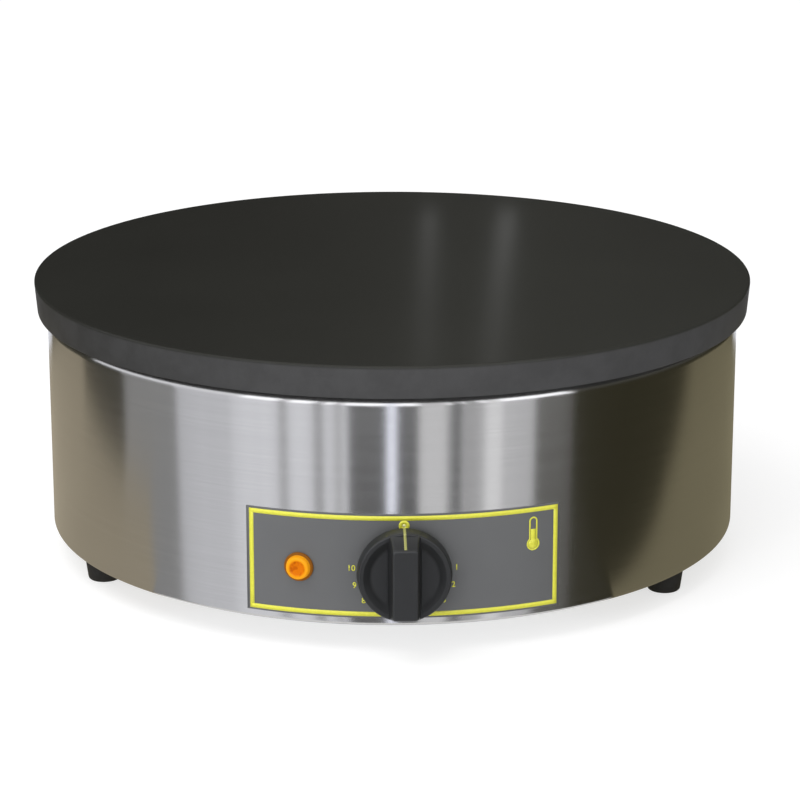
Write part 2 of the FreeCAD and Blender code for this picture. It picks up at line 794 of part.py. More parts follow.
def make_thermostat():
    """Capillary thermostat: bracket on the band, housing behind it, tabs and screws."""
    front = "0 - bracket_face"
    half_pitch = "dial_screw_pitch / 2"
    bracket = box("bracket_sheet", "bracket_width", "bracket_sheet", "bracket_height",
                  place("0 - bracket_width / 2", front, "knob_level - bracket_height / 2"))
    bores = [
        front_hole("bracket_shaft_hole", "shaft_hole_radius"),
        front_hole("bracket_upper_hole", "dial_screw_radius + slip_fit", half_pitch),
        front_hole("bracket_lower_hole", "dial_screw_radius + slip_fit", "0 - " + half_pitch),
    ]
    keep(cut("bracket", bracket, bores), "thermostat_bracket")
    case = box("housing_case", "housing_width", "housing_depth", "housing_height",
               place("0 - housing_width / 2", "0 - housing_face", "knob_level - housing_height / 2"))
    face = "0 - housing_face"
    recess = "dial_screw_radius + screw_recess_room"
    bores = [cylinder("bearing", "shaft_radius + slip_fit", "bearing_depth",
                      place("0", face, "knob_level", "rotationx(-90)"))]
    for side, sign in (("upper", "+"), ("lower", "-")):
        level = "knob_level %s dial_screw_pitch / 2" % sign
        bores.append(cylinder("recess_" + side, recess, "screw_recess_depth",
                              place("0", face, level, "rotationx(-90)")))
    keep(cut("housing", case, bores), "thermostat_housing")
    screws = []
    for side, sign in (("upper", "+"), ("lower", "-")):
        level = "knob_level %s dial_screw_pitch / 2" % sign
        head = cylinder("dial_head_" + side, "dial_screw_head", "dial_head_height",
                        place("0", "0 - lamp_seat", level, "rotationx(90)"))
        shank = cylinder("dial_shank_" + side, "dial_screw_radius",
                         "lamp_seat - housing_face + screw_recess_depth / 2",
                         place("0", "0 - lamp_seat", level, "rotationx(-90)"))
        screws.append(fused("dial_screw_" + side, [head, shank]))
    keep(group("dial_screw_set", screws), "thermostat_screws")
    tabs = [tab("tab_" + name, x, level) for name, x, level in THERMOSTAT_TABS]
    keep(group("tab_set", tabs), "thermostat_tabs")


def tab(name, x, level):
    """A flat push-on tab that stands out of the back of the thermostat."""
    where = place("%s - tab_sheet / 2" % x, "0 - housing_back", "%s - tab_width / 2" % level)
    return box(name, "tab_sheet", "tab_length", "tab_width", where)


def make_sensor():
    """The sensing bulb under the plate, two saddles that press it up, and its capillary."""
    bulb_place = place("bulb_end - bulb_length", "0 - bulb_chord", "bulb_level", "rotationy(90)")
    keep(cylinder("bulb_rod", "bulb_radius", "bulb_length", bulb_place), "sensing_bulb")
    saddles = []
    for side, sign in (("left", "-"), ("right", "+")):
        where = place("bulb_shift %s saddle_spacing / 2 - saddle_length / 2" % sign,
                      "0 - bulb_chord - saddle_width / 2", "clamp_top")
        block = box("saddle_block_" + side, "saddle_length", "saddle_width",
                    "bulb_level - clamp_top", where)
        groove_place = place("bulb_end - bulb_length", "0 - bulb_chord", "bulb_level", "rotationy(90)")
        groove = cylinder("saddle_groove_" + side, "bulb_radius + seat_gap", "bulb_length", groove_place)
        saddles.append(cut("saddle_" + side, block, [groove]))
    keep(group("saddle_set", saddles), "bulb_saddles")
    route = (
        ("bulb_end", "0 - bulb_chord", "bulb_level"),
        ("bulb_end + capillary_lead", "0 - bulb_chord", "bulb_level"),
        ("bulb_end + capillary_lead", "0 - bulb_chord", "bulb_level - capillary_drop"),
        ("0", "0 - housing_back - housing_depth / 2", "housing_top + capillary_rise"),
        ("0", "0 - housing_back - housing_depth / 2", "housing_top"),
    )
    keep_tube("capillary", route, "capillary_radius")


# The share of a run that the bend at each of its ends takes up
BEND_SHARE = 0.45


def tube_path(points):
    """Straight runs joined by tangent arcs, each as large as its two runs allow."""
    path = []
    here = points[0]
    for number in range(1, len(points) - 1):
        corner = points[number]
        before = corner - points[number - 1]
        after = points[number + 1] - corner
        half_turn = before.getAngle(after) / 2
        reach = BEND_SHARE * min(before.Length, after.Length)
        radius = reach / math.tan(half_turn)
        into = before.normalize()
        out = after.normalize()
        start = corner - into * reach
        end = corner + out * reach
        towards_centre = (out - into).normalize()
        centre = corner + towards_centre * (radius / math.cos(half_turn))
        middle = centre - towards_centre * radius
        path.append(Part.LineSegment(here, start).toShape())
        path.append(Part.Arc(start, middle, end).toShape())
        here = end
    path.append(Part.LineSegment(here, points[-1]).toShape())
    return path


def keep_tube(label, route, radius):
    """A wire or thin pipe along a route of points, each given as expressions."""
    points = [FreeCAD.Vector(value(x), value(y), value(z)) for x, y, z in route]
    keep(feature(label + "_run", sweep_round(tube_path(points), value(radius))), label)


def make_shaft():
    """Steel shaft of the thermostat, with a flat where the knob pushes on."""
    start = "0 - housing_face + bearing_depth - shaft_end_room"
    length = "band_radius + knob_bore_end - housing_face + bearing_depth - 2 * shaft_end_room"
    rod = cylinder("shaft_rod", "shaft_radius", length, place("0", start, "knob_level", "rotationx(90)"))
    flat_length = "knob_bore_end - knob_gap"
    flat = box("shaft_flat_tool", "2 * shaft_radius", flat_length, "shaft_radius",
               place("0 - shaft_radius", "0 - band_radius - knob_bore_end",
                     "knob_level + shaft_radius - shaft_flat"))
    keep(cut("shaft", rod, [flat]), "thermostat_shaft")


def make_knob():
    """Moulded knob: a hollow skirt with a hub, and a raised grip bar across its face."""
    floor = "knob_edge - knob_dish"
    ceiling = "knob_gap + knob_hollow"
    inside = "knob_radius - knob_wall"
    skirt = turned_body("knob_skirt", (
        ("0", "knob_gap"),
        ("knob_hub_radius", "knob_gap"),
        ("knob_hub_radius", ceiling),
        (inside, ceiling),
        (inside, "knob_gap"),
        ("knob_radius", "knob_gap"),
        ("knob_front_radius", "knob_edge"),
        ("knob_front_radius - knob_lip", "knob_edge"),
        ("knob_front_radius - 2 * knob_lip", floor),
        ("0", floor),
    ), place("0", "0 - band_radius", "knob_level", "rotationx(90)"))
    wedge = doc.addObject("Part::Wedge", "grip_wedge")
    bind(wedge, Xmin="0 - grip_root_width / 2", Xmax="grip_root_width / 2",
         Zmin="0 - grip_root_length / 2", Zmax="grip_root_length / 2",
         Ymin=floor, Ymax="knob_reach",
         X2min="0 - grip_width / 2", X2max="grip_width / 2",
         Z2min="0 - grip_length / 2", Z2max="grip_length / 2",
         Placement=place("0", "0 - band_radius", "knob_level", "rotationz(180)"))
    limit = cylinder("grip_limit", "knob_front_radius", "knob_reach",
                     place("0", "0 - band_radius", "knob_level", "rotationx(90)"))
    grip = common("grip", wedge, limit)
    bore = cylinder("knob_bore_round", "shaft_radius + slip_fit", "knob_bore_end",
                    place("0", "0 - band_radius", "knob_level", "rotationx(90)"))
    flat = box("knob_bore_flat", "4 * shaft_radius", "knob_reach", "2 * shaft_radius",
               place("0 - 2 * shaft_radius", "0 - band_radius - knob_reach",
                     "knob_level + shaft_radius - shaft_flat + slip_fit"))
    bore = cut("knob_bore", bore, [flat])
    keep(cut("knob", fused("knob_solid", [skirt, grip]), [bore]), "control_knob")


def make_lamp():
    """Pilot lamp: amber lens with a stem through the band, a nut, its body and two tabs."""
    seat = outwards("lamp_turn", "lamp_seat", "knob_level")
    dome = "lamp_flange_height + lamp_lens_height"
    lens = turned_body("lens_body", (
        ("0", "0 - lamp_stem_length"),
        ("lamp_stem_radius", "0 - lamp_stem_length"),
        ("lamp_stem_radius", "0"),
        ("lamp_flange_radius", "0"),
        ("lamp_flange_radius", "lamp_flange_height"),
        ("lamp_lens_radius", "lamp_flange_height"),
        ("lamp_lens_radius", dome),
        ("0", dome),
    ), seat)
    round_edge(lens, "lens_round", "lamp_lens_radius", dome, "lamp_lens_round")
    keep(lens, "lamp_lens")
    body_place = outwards("lamp_turn", "lamp_tab_face", "knob_level")
    keep(cylinder("lamp_tube", "lamp_stem_radius", "lamp_body_length", body_place), "lamp_body")
    nut_place = outwards("lamp_turn", "lamp_nut_face - lamp_nut_height", "knob_level")
    ring = cylinder("lamp_ring", "lamp_nut_radius", "lamp_nut_height", nut_place)
    bore = cylinder("lamp_ring_bore", "lamp_stem_radius + slip_fit", "lamp_nut_height", nut_place)
    keep(cut("lamp_ring_nut", ring, [bore]), "lamp_nut")
    tabs = []
    for side, sign in (("upper", "+"), ("lower", "-")):
        corner = place("0 - tab_length", "0 - lamp_tab_width / 2", "0 - tab_sheet / 2")
        level = "knob_level %s lamp_tab_spacing / 2" % sign
        tabs.append(box("lamp_tab_" + side, "tab_length", "lamp_tab_width", "tab_sheet",
                        spot("lamp_turn", "lamp_tab_face", level) + " * " + corner))
    keep(group("lamp_tab_set", tabs), "lamp_tabs")


WAYS = (
    ("lamp", "leg_offset - 2 * way_pitch"),
    ("live", "leg_offset - way_pitch"),
    ("neutral", "leg_offset"),
    ("earth", "leg_offset + way_pitch"),
)


def make_terminal_block():
    """Ceramic terminal block with four brass inserts, screwed to the base plate."""
    corner = place("block_middle - block_length / 2", "block_face", "base_top")
    block = box("block_bar", "block_length", "block_width", "block_height", corner)
    holes = []
    inserts = []
    for name, x in WAYS:
        where = place(x, "block_face", "way_height", "rotationx(-90)")
        holes.append(cylinder("way_hole_" + name, "insert_radius + slip_fit", "block_width", where))
        sleeve = cylinder("insert_sleeve_" + name, "insert_radius", "block_width", where)
        deep = place(x, "block_row", "way_height", "rotationx(-90)")
        socket = cylinder("insert_socket_" + name, "insert_bore", "block_width / 2", deep)
        inserts.append(cut("insert_" + name, sleeve, [socket]))
    screws = []
    for side, sign in (("left", "-"), ("right", "+")):
        x = "block_middle %s block_screw_spacing / 2" % sign
        through = "block_height + base_sheet + block_head_height"
        holes.append(cylinder("block_hole_" + side, "block_screw_radius + slip_fit", "block_height",
                              place(x, "block_row", "base_top")))
        head = cylinder("block_head_" + side, "block_screw_head", "block_head_height",
                        place(x, "block_row", "base_top + block_height"))
        shank = cylinder("block_shank_" + side, "block_screw_radius", through,
                         place(x, "block_row", "base_top + block_height - (%s)" % through))
        screws.append(fused("block_screw_" + side, [head, shank]))
    keep(cut("block", block, holes), "terminal_block")
    keep(group("insert_set", inserts), "block_inserts")
    keep(group("block_screw_set", screws), "block_screws")


def make_earth():
    """Earth stud welded to the base plate, with a crimped lug under its nut."""
    where = place("earth_x", "earth_row", "base_top")
    keep(cylinder("earth_pin", "earth_stud_radius", "earth_stud_height", where), "earth_stud")
    ring = cylinder("lug_ring", "lug_ring_radius", "lug_sheet", where)
    neck = box("lug_neck_strip", "lug_neck", "lug_barrel_start + lug_sheet", "lug_sheet",
               place("earth_x - lug_neck / 2", "earth_row", "base_top"))
    barrel = cylinder("lug_barrel", "lug_barrel_radius", "lug_barrel_length",
                      place("earth_x", "earth_row + lug_barrel_start",
                            "base_top + lug_barrel_radius", "rotationx(-90)"))
    hole = cylinder("lug_hole", "earth_stud_radius + slip_fit", "lug_sheet", where)
    keep(cut("lug", fused("lug_solid", [ring, neck, barrel]), [hole]), "earth_lug")
    above = place("earth_x", "earth_row", "base_top + lug_sheet")
    keep(nut("earth_hex", "earth_nut_flats", "earth_nut_height", "earth_stud_radius + slip_fit", above),
         "earth_nut")


def lamp_point(radius, level):
    """A point on the lamp's ray, as expressions."""
    return (radius + " * cos(lamp_turn)", radius + " * sin(lamp_turn)", level)


def make_wires():
    """Seven wires between block, thermostat, elements, lamp and earth stud."""
    block_y = "block_face"
    level = "way_height"
    x = dict(WAYS)
    tabs = {name: (across, "0 - tab_end", height) for name, across, height in THERMOSTAT_TABS}
    upper = "knob_level + lamp_tab_spacing / 2"
    lower = "knob_level - lamp_tab_spacing / 2"
    keep_tube("wire_live", (
        (x["live"], block_y, level),
        (x["live"], "block_face - live_rear_run", level),
        (tabs["live"][0], "live_front_run - tab_end", tabs["live"][2]),
        tabs["live"],
    ), "wire_radius")
    keep_tube("wire_heat", (
        tabs["heat"],
        (tabs["heat"][0], "heat_lead - tab_end", tabs["heat"][2]),
        ("leg_offset + heat_side", "heat_front_run - tab_end", "heat_level"),
        ("leg_offset + heat_side", leg_back("outer_loop_out") + " - heat_rear_run", "heat_level"),
        ("leg_offset", leg_back("outer_loop_out"), "heat_level"),
        ("leg_offset", leg_back("outer_loop_out"), "pin_foot"),
    ), "wire_radius")
    keep_tube("wire_link", (
        ("leg_offset", leg_back("outer_loop_in"), "pin_foot"),
        ("leg_offset", leg_back("outer_loop_in"), "pin_foot - link_drop"),
        ("leg_offset", leg_back("inner_loop_out"), "pin_foot - link_drop"),
        ("leg_offset", leg_back("inner_loop_out"), "pin_foot"),
    ), "wire_radius")
    keep_tube("wire_neutral", (
        ("leg_offset", leg_back("inner_loop_in"), "pin_foot"),
        ("leg_offset", leg_back("inner_loop_in"), level),
        ("leg_offset", block_y, level),
    ), "wire_radius")
    keep_tube("wire_pilot", (
        tabs["pilot"],
        (tabs["pilot"][0], "pilot_lead - tab_end", tabs["pilot"][2]),
        lamp_point("(lamp_tab_end - pilot_reach)", lower),
        lamp_point("lamp_tab_end", lower),
    ), "wire_radius")
    keep_tube("wire_lamp_return", (
        lamp_point("lamp_tab_end", upper),
        lamp_point("(lamp_tab_end - return_reach)", upper),
        (x["lamp"] + " - return_side", "block_face - return_middle_run", "knob_level - return_dip"),
        (x["lamp"], "block_face - return_rear_run", level),
        (x["lamp"], block_y, level),
    ), "wire_radius")
    barrel_end = "earth_row + lug_barrel_start + lug_barrel_length"
    keep_tube("wire_earth", (
        (x["earth"], block_y, level),
        (x["earth"], "block_face - earth_lead", level),
        (x["earth"], barrel_end + " + earth_lug_lead", "base_top + lug_barrel_radius"),
        (x["earth"], barrel_end, "base_top + lug_barrel_radius"),
    ), "wire_radius")


def make_gland():
    """Cable gland: body through the band, locknut inside, seal and dome nut outside."""
    seat = place("0", "band_radius + panel_glue", "gland_level", "rotationx(-90)")
    flange = prism("gland_hex", "gland_flats", "gland_flange_height", seat)
    thread_place = place("0", "band_radius + panel_glue - gland_inside_length", "gland_level",
                         "rotationx(-90)")
    thread = cylinder("gland_thread", "gland_thread_radius", "gland_inside_length", thread_place)
    spigot = cylinder("gland_spigot", "gland_spigot_radius", "gland_flange_height + gland_spigot_length", seat)
    way = cylinder("gland_way", "gland_bore + seat_gap",
                   "gland_inside_length + gland_flange_height", thread_place)
    seal_start = "band_radius + panel_glue + gland_flange_height"
    pocket_place = place("0", seal_start, "gland_level", "rotationx(-90)")
    pocket = cylinder("gland_pocket", "gland_seal_radius + slip_fit", "gland_spigot_length", pocket_place)
    keep(cut("gland", fused("gland_solid", [flange, thread, spigot]), [way, pocket]), "gland_body")
    ring_place = place("0", "gland_nut_face - gland_nut_height", "gland_level", "rotationx(-90)")
    keep(nut("gland_locknut_hex", "gland_flats", "gland_nut_height", "gland_thread_radius + slip_fit",
             ring_place), "gland_locknut")
    sleeve = cylinder("seal_sleeve", "gland_seal_radius", "gland_spigot_length", pocket_place)
    sleeve_bore = cylinder("seal_bore", "gland_bore", "gland_spigot_length", pocket_place)
    keep(cut("seal", sleeve, [sleeve_bore]), "gland_seal")
    dome_start = seal_start + " + seat_gap"
    dome_place = place("0", dome_start, "gland_level", "rotationx(-90)")
    hexagon = prism("dome_hex", "gland_flats", "gland_dome_hex", dome_place)
    whole = "band_radius + gland_reach - (%s)" % dome_start
    cone = doc.addObject("Part::Cone", "dome_cone")
    cone_place = place("0", dome_start + " + gland_dome_hex", "gland_level", "rotationx(-90)")
    bind(cone, Radius1="gland_flats / 2", Radius2="gland_tip_radius",
         Height=whole + " - gland_dome_hex", Placement=cone_place)
    hollow = cylinder("dome_hollow", "gland_spigot_radius + slip_fit", "gland_spigot_length + seat_gap",
                      dome_place)
    exit_bore = cylinder("dome_exit", "gland_bore + seat_gap", whole, dome_place)
    keep(cut("dome", fused("dome_solid", [hexagon, cone]), [hollow, exit_bore]), "gland_dome_nut")


def check_and_export():
    """Stops on any failed object or bad solid, then writes one file for each node."""
    doc.recompute()
    for thing in doc.Objects:
        if "Invalid" in thing.State or "Error" in thing.State:
            raise ValueError("failed object: " + thing.Name)
    os.makedirs("parts", exist_ok=True)
    for thing in nodes:
        shape = thing.Shape
        if shape.isNull() or not shape.isValid() or not shape.Solids:
            raise ValueError("bad shape: " + thing.Label)
    for thing in nodes:
        thing.Shape.exportStep("parts/%s.step" % thing.Label)


make_cooking_plate()
make_body_band()
make_dial_panel()
make_base_plate()
make_feet()
make_tie_rods()
make_element("outer_element", "outer_loop_out", "outer_loop_in")
make_element("inner_element", "inner_loop_out", "inner_loop_in")
make_element_pins()
make_clamp_and_insulation()
make_thermostat()
make_sensor()
make_shaft()
make_knob()
make_lamp()
make_terminal_block()
make_earth()
make_wires()
make_gland()
check_and_export()
print(len(nodes), "nodes written")
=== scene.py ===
import math

import bmesh
import bpy
import numpy as np
from mathutils import Matrix, Vector


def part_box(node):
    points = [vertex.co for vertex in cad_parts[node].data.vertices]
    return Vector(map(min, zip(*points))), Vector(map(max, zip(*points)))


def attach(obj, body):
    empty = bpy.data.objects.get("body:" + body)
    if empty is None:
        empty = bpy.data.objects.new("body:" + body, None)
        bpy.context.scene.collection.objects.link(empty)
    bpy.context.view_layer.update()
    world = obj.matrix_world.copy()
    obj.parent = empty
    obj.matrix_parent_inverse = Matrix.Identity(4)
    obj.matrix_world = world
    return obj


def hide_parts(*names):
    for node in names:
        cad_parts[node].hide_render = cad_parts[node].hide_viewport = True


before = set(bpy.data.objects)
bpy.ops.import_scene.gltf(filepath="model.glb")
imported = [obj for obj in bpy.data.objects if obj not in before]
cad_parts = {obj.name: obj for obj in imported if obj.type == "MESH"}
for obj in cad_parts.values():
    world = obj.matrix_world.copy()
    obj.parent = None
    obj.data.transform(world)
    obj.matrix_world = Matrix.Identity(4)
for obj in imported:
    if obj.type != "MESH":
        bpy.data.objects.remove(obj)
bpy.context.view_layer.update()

# Camera
# A long lens looks down at the machine from the front, a little to the left of its middle.
# Distances are in metres from the machine's axis and from the table.
CAMERA_TILT = math.radians(16.55)
CAMERA_YAW = math.radians(-1.9)
CAMERA_PLACE = Vector((-0.0501, -1.6402, 0.5659))
LENS_MM = 135.5
SENSOR_MM = 36

lens = bpy.data.cameras.new("camera")
lens.lens = LENS_MM
lens.sensor_width = SENSOR_MM
camera = bpy.data.objects.new("camera", lens)
camera.location = CAMERA_PLACE
camera.rotation_euler = (math.pi / 2 - CAMERA_TILT, 0, CAMERA_YAW)
bpy.context.collection.objects.link(camera)
bpy.context.scene.camera = camera
bpy.context.scene.view_settings.view_transform = "Standard"


# Studio
# A white floor and backdrop, even light from all round and two large soft lamps. A ring of
# tall cards is seen only in the steel: windows, posts between them, and a dim room behind.
class Strand:
    """An output socket that can be added and multiplied: each operator adds a Math node."""

    def __init__(self, nodes, socket):
        self.nodes = nodes
        self.socket = socket

    def maths(self, operation, first, second):
        return self.nodes.node("ShaderNodeMath", {"operation": operation}, {0: first, 1: second})

    def __add__(self, other):
        return self.maths("ADD", self, other)

    def __radd__(self, other):
        return self.maths("ADD", other, self)

    def __mul__(self, other):
        return self.maths("MULTIPLY", self, other)

    def __rmul__(self, other):
        return self.maths("MULTIPLY", other, self)


class Nodes:
    """The nodes of one material or of the backdrop."""

    def __init__(self, tree):
        self.tree = tree

    def node(self, kind, settings=None, inputs=None, output=0):
        """Adds a node: its settings first, then the values or links of its sockets."""
        made = self.tree.nodes.new(kind)
        for key, setting in (settings or {}).items():
            setattr(made, key, setting)
        for key, value in (inputs or {}).items():
            self.join(value, made.inputs[key])
        return Strand(self, made.outputs[output])

    def join(self, value, socket):
        if isinstance(value, Strand):
            self.tree.links.new(value.socket, socket)
        else:
            socket.default_value = value

    def looked_at(self):
        """1 for a ray from the camera, a mirror or clear glass, and 0 for one that lights a piece."""
        watched = 0.0
        for ray in ("Is Camera Ray", "Is Glossy Ray", "Is Transmission Ray"):
            seen = self.node("ShaderNodeLightPath", output=ray)
            watched = self.node("ShaderNodeMath", {"operation": "MAXIMUM"}, {0: watched, 1: seen})
        return watched


class Finish(Nodes):
    """A material that is being mixed: a small network that ends in one Principled shader."""

    def __init__(self, name, **constants):
        self.material = bpy.data.materials.new(name)
        self.material.use_nodes = True
        super().__init__(self.material.node_tree)
        self.shader = self.tree.nodes["Principled BSDF"]
        for key, value in constants.items():
            self.set(key.replace("_", " ").title().replace("Ior", "IOR"), value)

    def set(self, name, value):
        self.join(value, self.shader.inputs[name])
        return self

    def place(self):
        """The point on the piece, in metres in the machine's own frame."""
        return self.node("ShaderNodeTexCoord", output="Object")

    def grain(self, scale, detail=2.0, roughness=0.5, stretch=(1, 1, 1)):
        """Soft noise from 0 to 1, with so many grains to a metre along each axis."""
        sizes = tuple(scale * part for part in stretch)
        spread = self.node("ShaderNodeVectorMath", {"operation": "MULTIPLY"}, {0: self.place(), 1: sizes})
        return self.node("ShaderNodeTexNoise", None,
                         {"Vector": spread, "Scale": 1.0, "Detail": detail, "Roughness": roughness})

    def band(self, strand, low, high):
        """A mask that rises from 0 to 1 while the strand goes from low to high."""
        return self.node("ShaderNodeMapRange", {"interpolation_type": "SMOOTHSTEP"},
                         {0: strand, 1: low, 2: high})

    def mix(self, mask, first, second):
        """The first colour where the mask is 0 and the second where it is 1."""
        return self.node("ShaderNodeMix", {"data_type": "RGBA"}, {0: mask, 6: first, 7: second}, 2)

    def bump(self, strand, height, strength=1.0):
        """Raises the surface by a strand, to a height in metres."""
        raised = self.node("ShaderNodeBump", None,
                           {"Strength": strength, "Distance": height, "Height": strand})
        return self.set("Normal", raised)


CARD_RING_RADIUS = 2.6
CARD_FOOT = -2.4
CARD_HEAD = 2.6
SKY_FOOT = 0.45
BACK_BREAK = -0.15
BACK_HEAD = 5.0
# Each broad card: where it starts and ends in degrees round from the camera, its level and warmth
ROOM = (
    ("wall_left", -150, -94, 0.06, 0.30),
    ("corner_left", -94, -71, 0.34, -0.03),
    ("window_side", -71, -51, 0.80, -0.10),
    ("window", -51, -13.5, 0.98, -0.10),
    ("shade", -13.5, 18, 0.15, -0.05),
    ("curtain", 18, 45, 0.70, -0.06),
    ("curtain_fold", 45, 58, 0.15, 0.08),
    ("dark_corner", 58, 150, 0.038, 0.6),
)
# Narrow strips that stand in front of those: middle, width, level and warmth
STRIPS = (
    ("post_a", -33.8, 2.8, 0.52, -0.07),
    ("post_b", -22.6, 3.0, 0.46, -0.07),
    ("post_c", -16.5, 2.6, 0.62, -0.07),
    ("lamp_strip", -0.1, 3.0, 1.48, -0.2),
    ("pale_strip", 12.7, 9.0, 0.86, -0.05),
    ("post_d", 20, 3.0, 0.16, -0.05),
    ("post_e", 25, 5.0, 0.54, -0.05),
    ("gleam", 31.6, 5.0, 1.08, -0.05),
)
# Cards that stand higher or behind: start, end, foot, head, level and warmth
HIGH = (
    ("sky_side", -110, -48, SKY_FOOT, CARD_HEAD, 1.15, -0.08),
    ("sky_front", -48, 58, SKY_FOOT, CARD_HEAD, 2.1, -0.08),
    ("sky_left", -150, -110, SKY_FOOT, BACK_HEAD, 0.05, 0.2),
    ("sky_right", 58, 150, SKY_FOOT, BACK_HEAD, 0.08, 0.2),
    ("back_low", 150, 210, CARD_FOOT, BACK_BREAK, 0.85, -0.1),
    ("back_high", 150, 210, BACK_BREAK, BACK_HEAD, 0.03, 0.2),
)
# Two tall slits behind the machine, which the plate's top draws out into pale streaks
SLITS = (
    ("slit_left", 178.8, 0.6, 0.75),
    ("slit_right", 176.0, 0.65, 1.0),
)
STRIP_INSET = 0.1
# How much a card's soft folds lighten and darken it, and what warmth does to its colour
FLUTTER = 0.16
WARM_TINT = np.array((0.25, 0.1, -0.6))


def glowing(name, level, warmth):
    """Cloth that only gives light, with soft upright folds round the ring."""
    made = Finish(name, base_color=(0, 0, 0, 1), roughness=1.0)
    made.set("Specular IOR Level", 0.0)
    tint = 1 + WARM_TINT * warmth
    fold = made.grain(1, 3, 0.6, (7, 7, 0.02))
    made.set("Emission Color", made.mix(fold, (*(1 - FLUTTER) * tint, 1), (*(1 + FLUTTER) * tint, 1)))
    return made.set("Emission Strength", level).material


def light_only(made):
    """Makes a card that is seen in reflections and nowhere else."""
    for ray in ("camera", "diffuse", "shadow", "transmission", "volume_scatter"):
        setattr(made, "visible_" + ray, False)


def flat_piece(name, points, faces, material):
    """A mesh object of given points and faces, where it stands."""
    mesh = bpy.data.meshes.new(name)
    mesh.from_pydata(points, [], faces)
    mesh.materials.append(material)
    made = bpy.data.objects.new(name, mesh)
    bpy.context.collection.objects.link(made)
    return made


def card(name, start, end, low, high, radius, material):
    """An upright strip of a wide cylinder: (radius sin a, -radius cos a) at two levels."""
    steps = 2 + int(abs(end - start) / 3)
    angles = np.radians(np.linspace(start, end, steps)) + CAMERA_YAW
    row = np.stack((radius * np.sin(angles), -radius * np.cos(angles)), axis=1)
    points = np.concatenate([np.column_stack((row, np.full(steps, level))) for level in (low, high)])
    first = np.arange(steps - 1)
    faces = np.column_stack((first, first + 1, first + steps + 1, first + steps))
    light_only(flat_piece(name, points.tolist(), faces.tolist(), material))


for name, start, end, level, warmth in ROOM:
    card(name, start, end, CARD_FOOT, SKY_FOOT, CARD_RING_RADIUS, glowing(name, level, warmth))
for name, middle, width, level, warmth in STRIPS:
    card(name, middle - width / 2, middle + width / 2, CARD_FOOT, CARD_HEAD,
         CARD_RING_RADIUS - STRIP_INSET, glowing(name, level, warmth))
for name, start, end, low, high, level, warmth in HIGH:
    card(name, start, end, low, high, CARD_RING_RADIUS, glowing(name, level, warmth))
for name, middle, width, level in SLITS:
    card(name, middle - width / 2, middle + width / 2, SKY_FOOT, CARD_HEAD,
         CARD_RING_RADIUS - STRIP_INSET, glowing(name, level, 0.0))

# The worktop, as the steel sees it: brown, paler on the left, with its edges at a slant
WORKTOP_LEFT = np.array((0.42, 0.37, 0.28))
WORKTOP_RIGHT = np.array((0.235, 0.21, 0.135))
WORKTOP_CHANGE = 0.2
WORKTOP_CLOUDS = (0.85, 1.15)
WORKTOP_EDGE = ((0.16, -0.171), (0.36, -0.09), (0.60, 0.045), (0.85, 0.20), (0.85, 0.40), (-0.9, 0.40),
                (-0.546, 0.136), (-0.458, 0.0), (-0.42, -0.06), (-0.40, -0.11), (-0.36, -0.145),
                (-0.18, -0.145), (0.0, -0.10))
worktop = Finish("worktop", base_color=(0, 0, 0, 1), roughness=1.0, emission_strength=1.0)
worktop.set("Specular IOR Level", 0.0)
side = worktop.node("ShaderNodeSeparateXYZ", None, {0: worktop.place()})
to_right = worktop.band(side, -WORKTOP_CHANGE, WORKTOP_CHANGE)
dull, lit = (worktop.mix(to_right, (*WORKTOP_LEFT * share, 1), (*WORKTOP_RIGHT * share, 1))
             for share in WORKTOP_CLOUDS)
worktop.set("Emission Color", worktop.mix(worktop.grain(4, 3), dull, lit))
worktop_points = [(x, y, 0.0) for x, y in WORKTOP_EDGE]
light_only(flat_piece("worktop", worktop_points, [list(range(len(WORKTOP_EDGE)))], worktop.material))

FLOOR_RADIUS = 7.0
FLOOR_SIDES = 96
FLOOR_PAINT = 0.92
# The floor as the camera sees it: grey enough to keep a shadow, lifted to white by its own light
FLOOR_SEEN = 0.42
FLOOR_LIFT = 0.68
floor_angles = np.linspace(0, 2 * np.pi, FLOOR_SIDES, endpoint=False)
floor_ring = np.column_stack((np.cos(floor_angles), np.sin(floor_angles), 0 * floor_angles)) * FLOOR_RADIUS
floor_finish = Finish("floor_paint", base_color=(FLOOR_PAINT, FLOOR_PAINT, FLOOR_PAINT, 1), roughness=0.9)
floor_seen = floor_finish.node("ShaderNodeBsdfPrincipled", None, {
    "Base Color": (FLOOR_SEEN, FLOOR_SEEN, FLOOR_SEEN, 1), "Roughness": 0.9, "Specular IOR Level": 0.0,
    "Emission Color": (1, 1, 1, 1), "Emission Strength": FLOOR_LIFT})
floor_plain = Strand(floor_finish, floor_finish.shader.outputs[0])
floor_both = floor_finish.node("ShaderNodeMixShader", None,
                               {0: floor_finish.looked_at(), 1: floor_plain, 2: floor_seen})
floor_finish.join(floor_both, floor_finish.tree.nodes["Material Output"].inputs[0])
floor = flat_piece("floor", floor_ring.tolist(), [list(range(FLOOR_SIDES))], floor_finish.material)
floor.visible_glossy = False

ROOM_LIGHT = 0.70
world = bpy.data.worlds.new("studio")
bpy.context.scene.world = world
world.use_nodes = True
backdrop = Nodes(world.node_tree)
sky = backdrop.tree.nodes["Background"]
backdrop.join((1, 1, 1, 1), sky.inputs["Color"])
backdrop.join(ROOM_LIGHT + (1 - ROOM_LIGHT) * backdrop.looked_at(), sky.inputs["Strength"])


def soft_lamp(name, place, target, size, power):
    """A square soft lamp that looks at a point, with its size in metres and its power in watts."""
    light = bpy.data.lights.new(name, "AREA")
    light.size = size
    light.energy = power
    made = bpy.data.objects.new(name, light)
    made.location = place
    made.rotation_euler = (Vector(target) - Vector(place)).to_track_quat("-Z", "Y").to_euler()
    made.visible_glossy = False
    bpy.context.collection.objects.link(made)


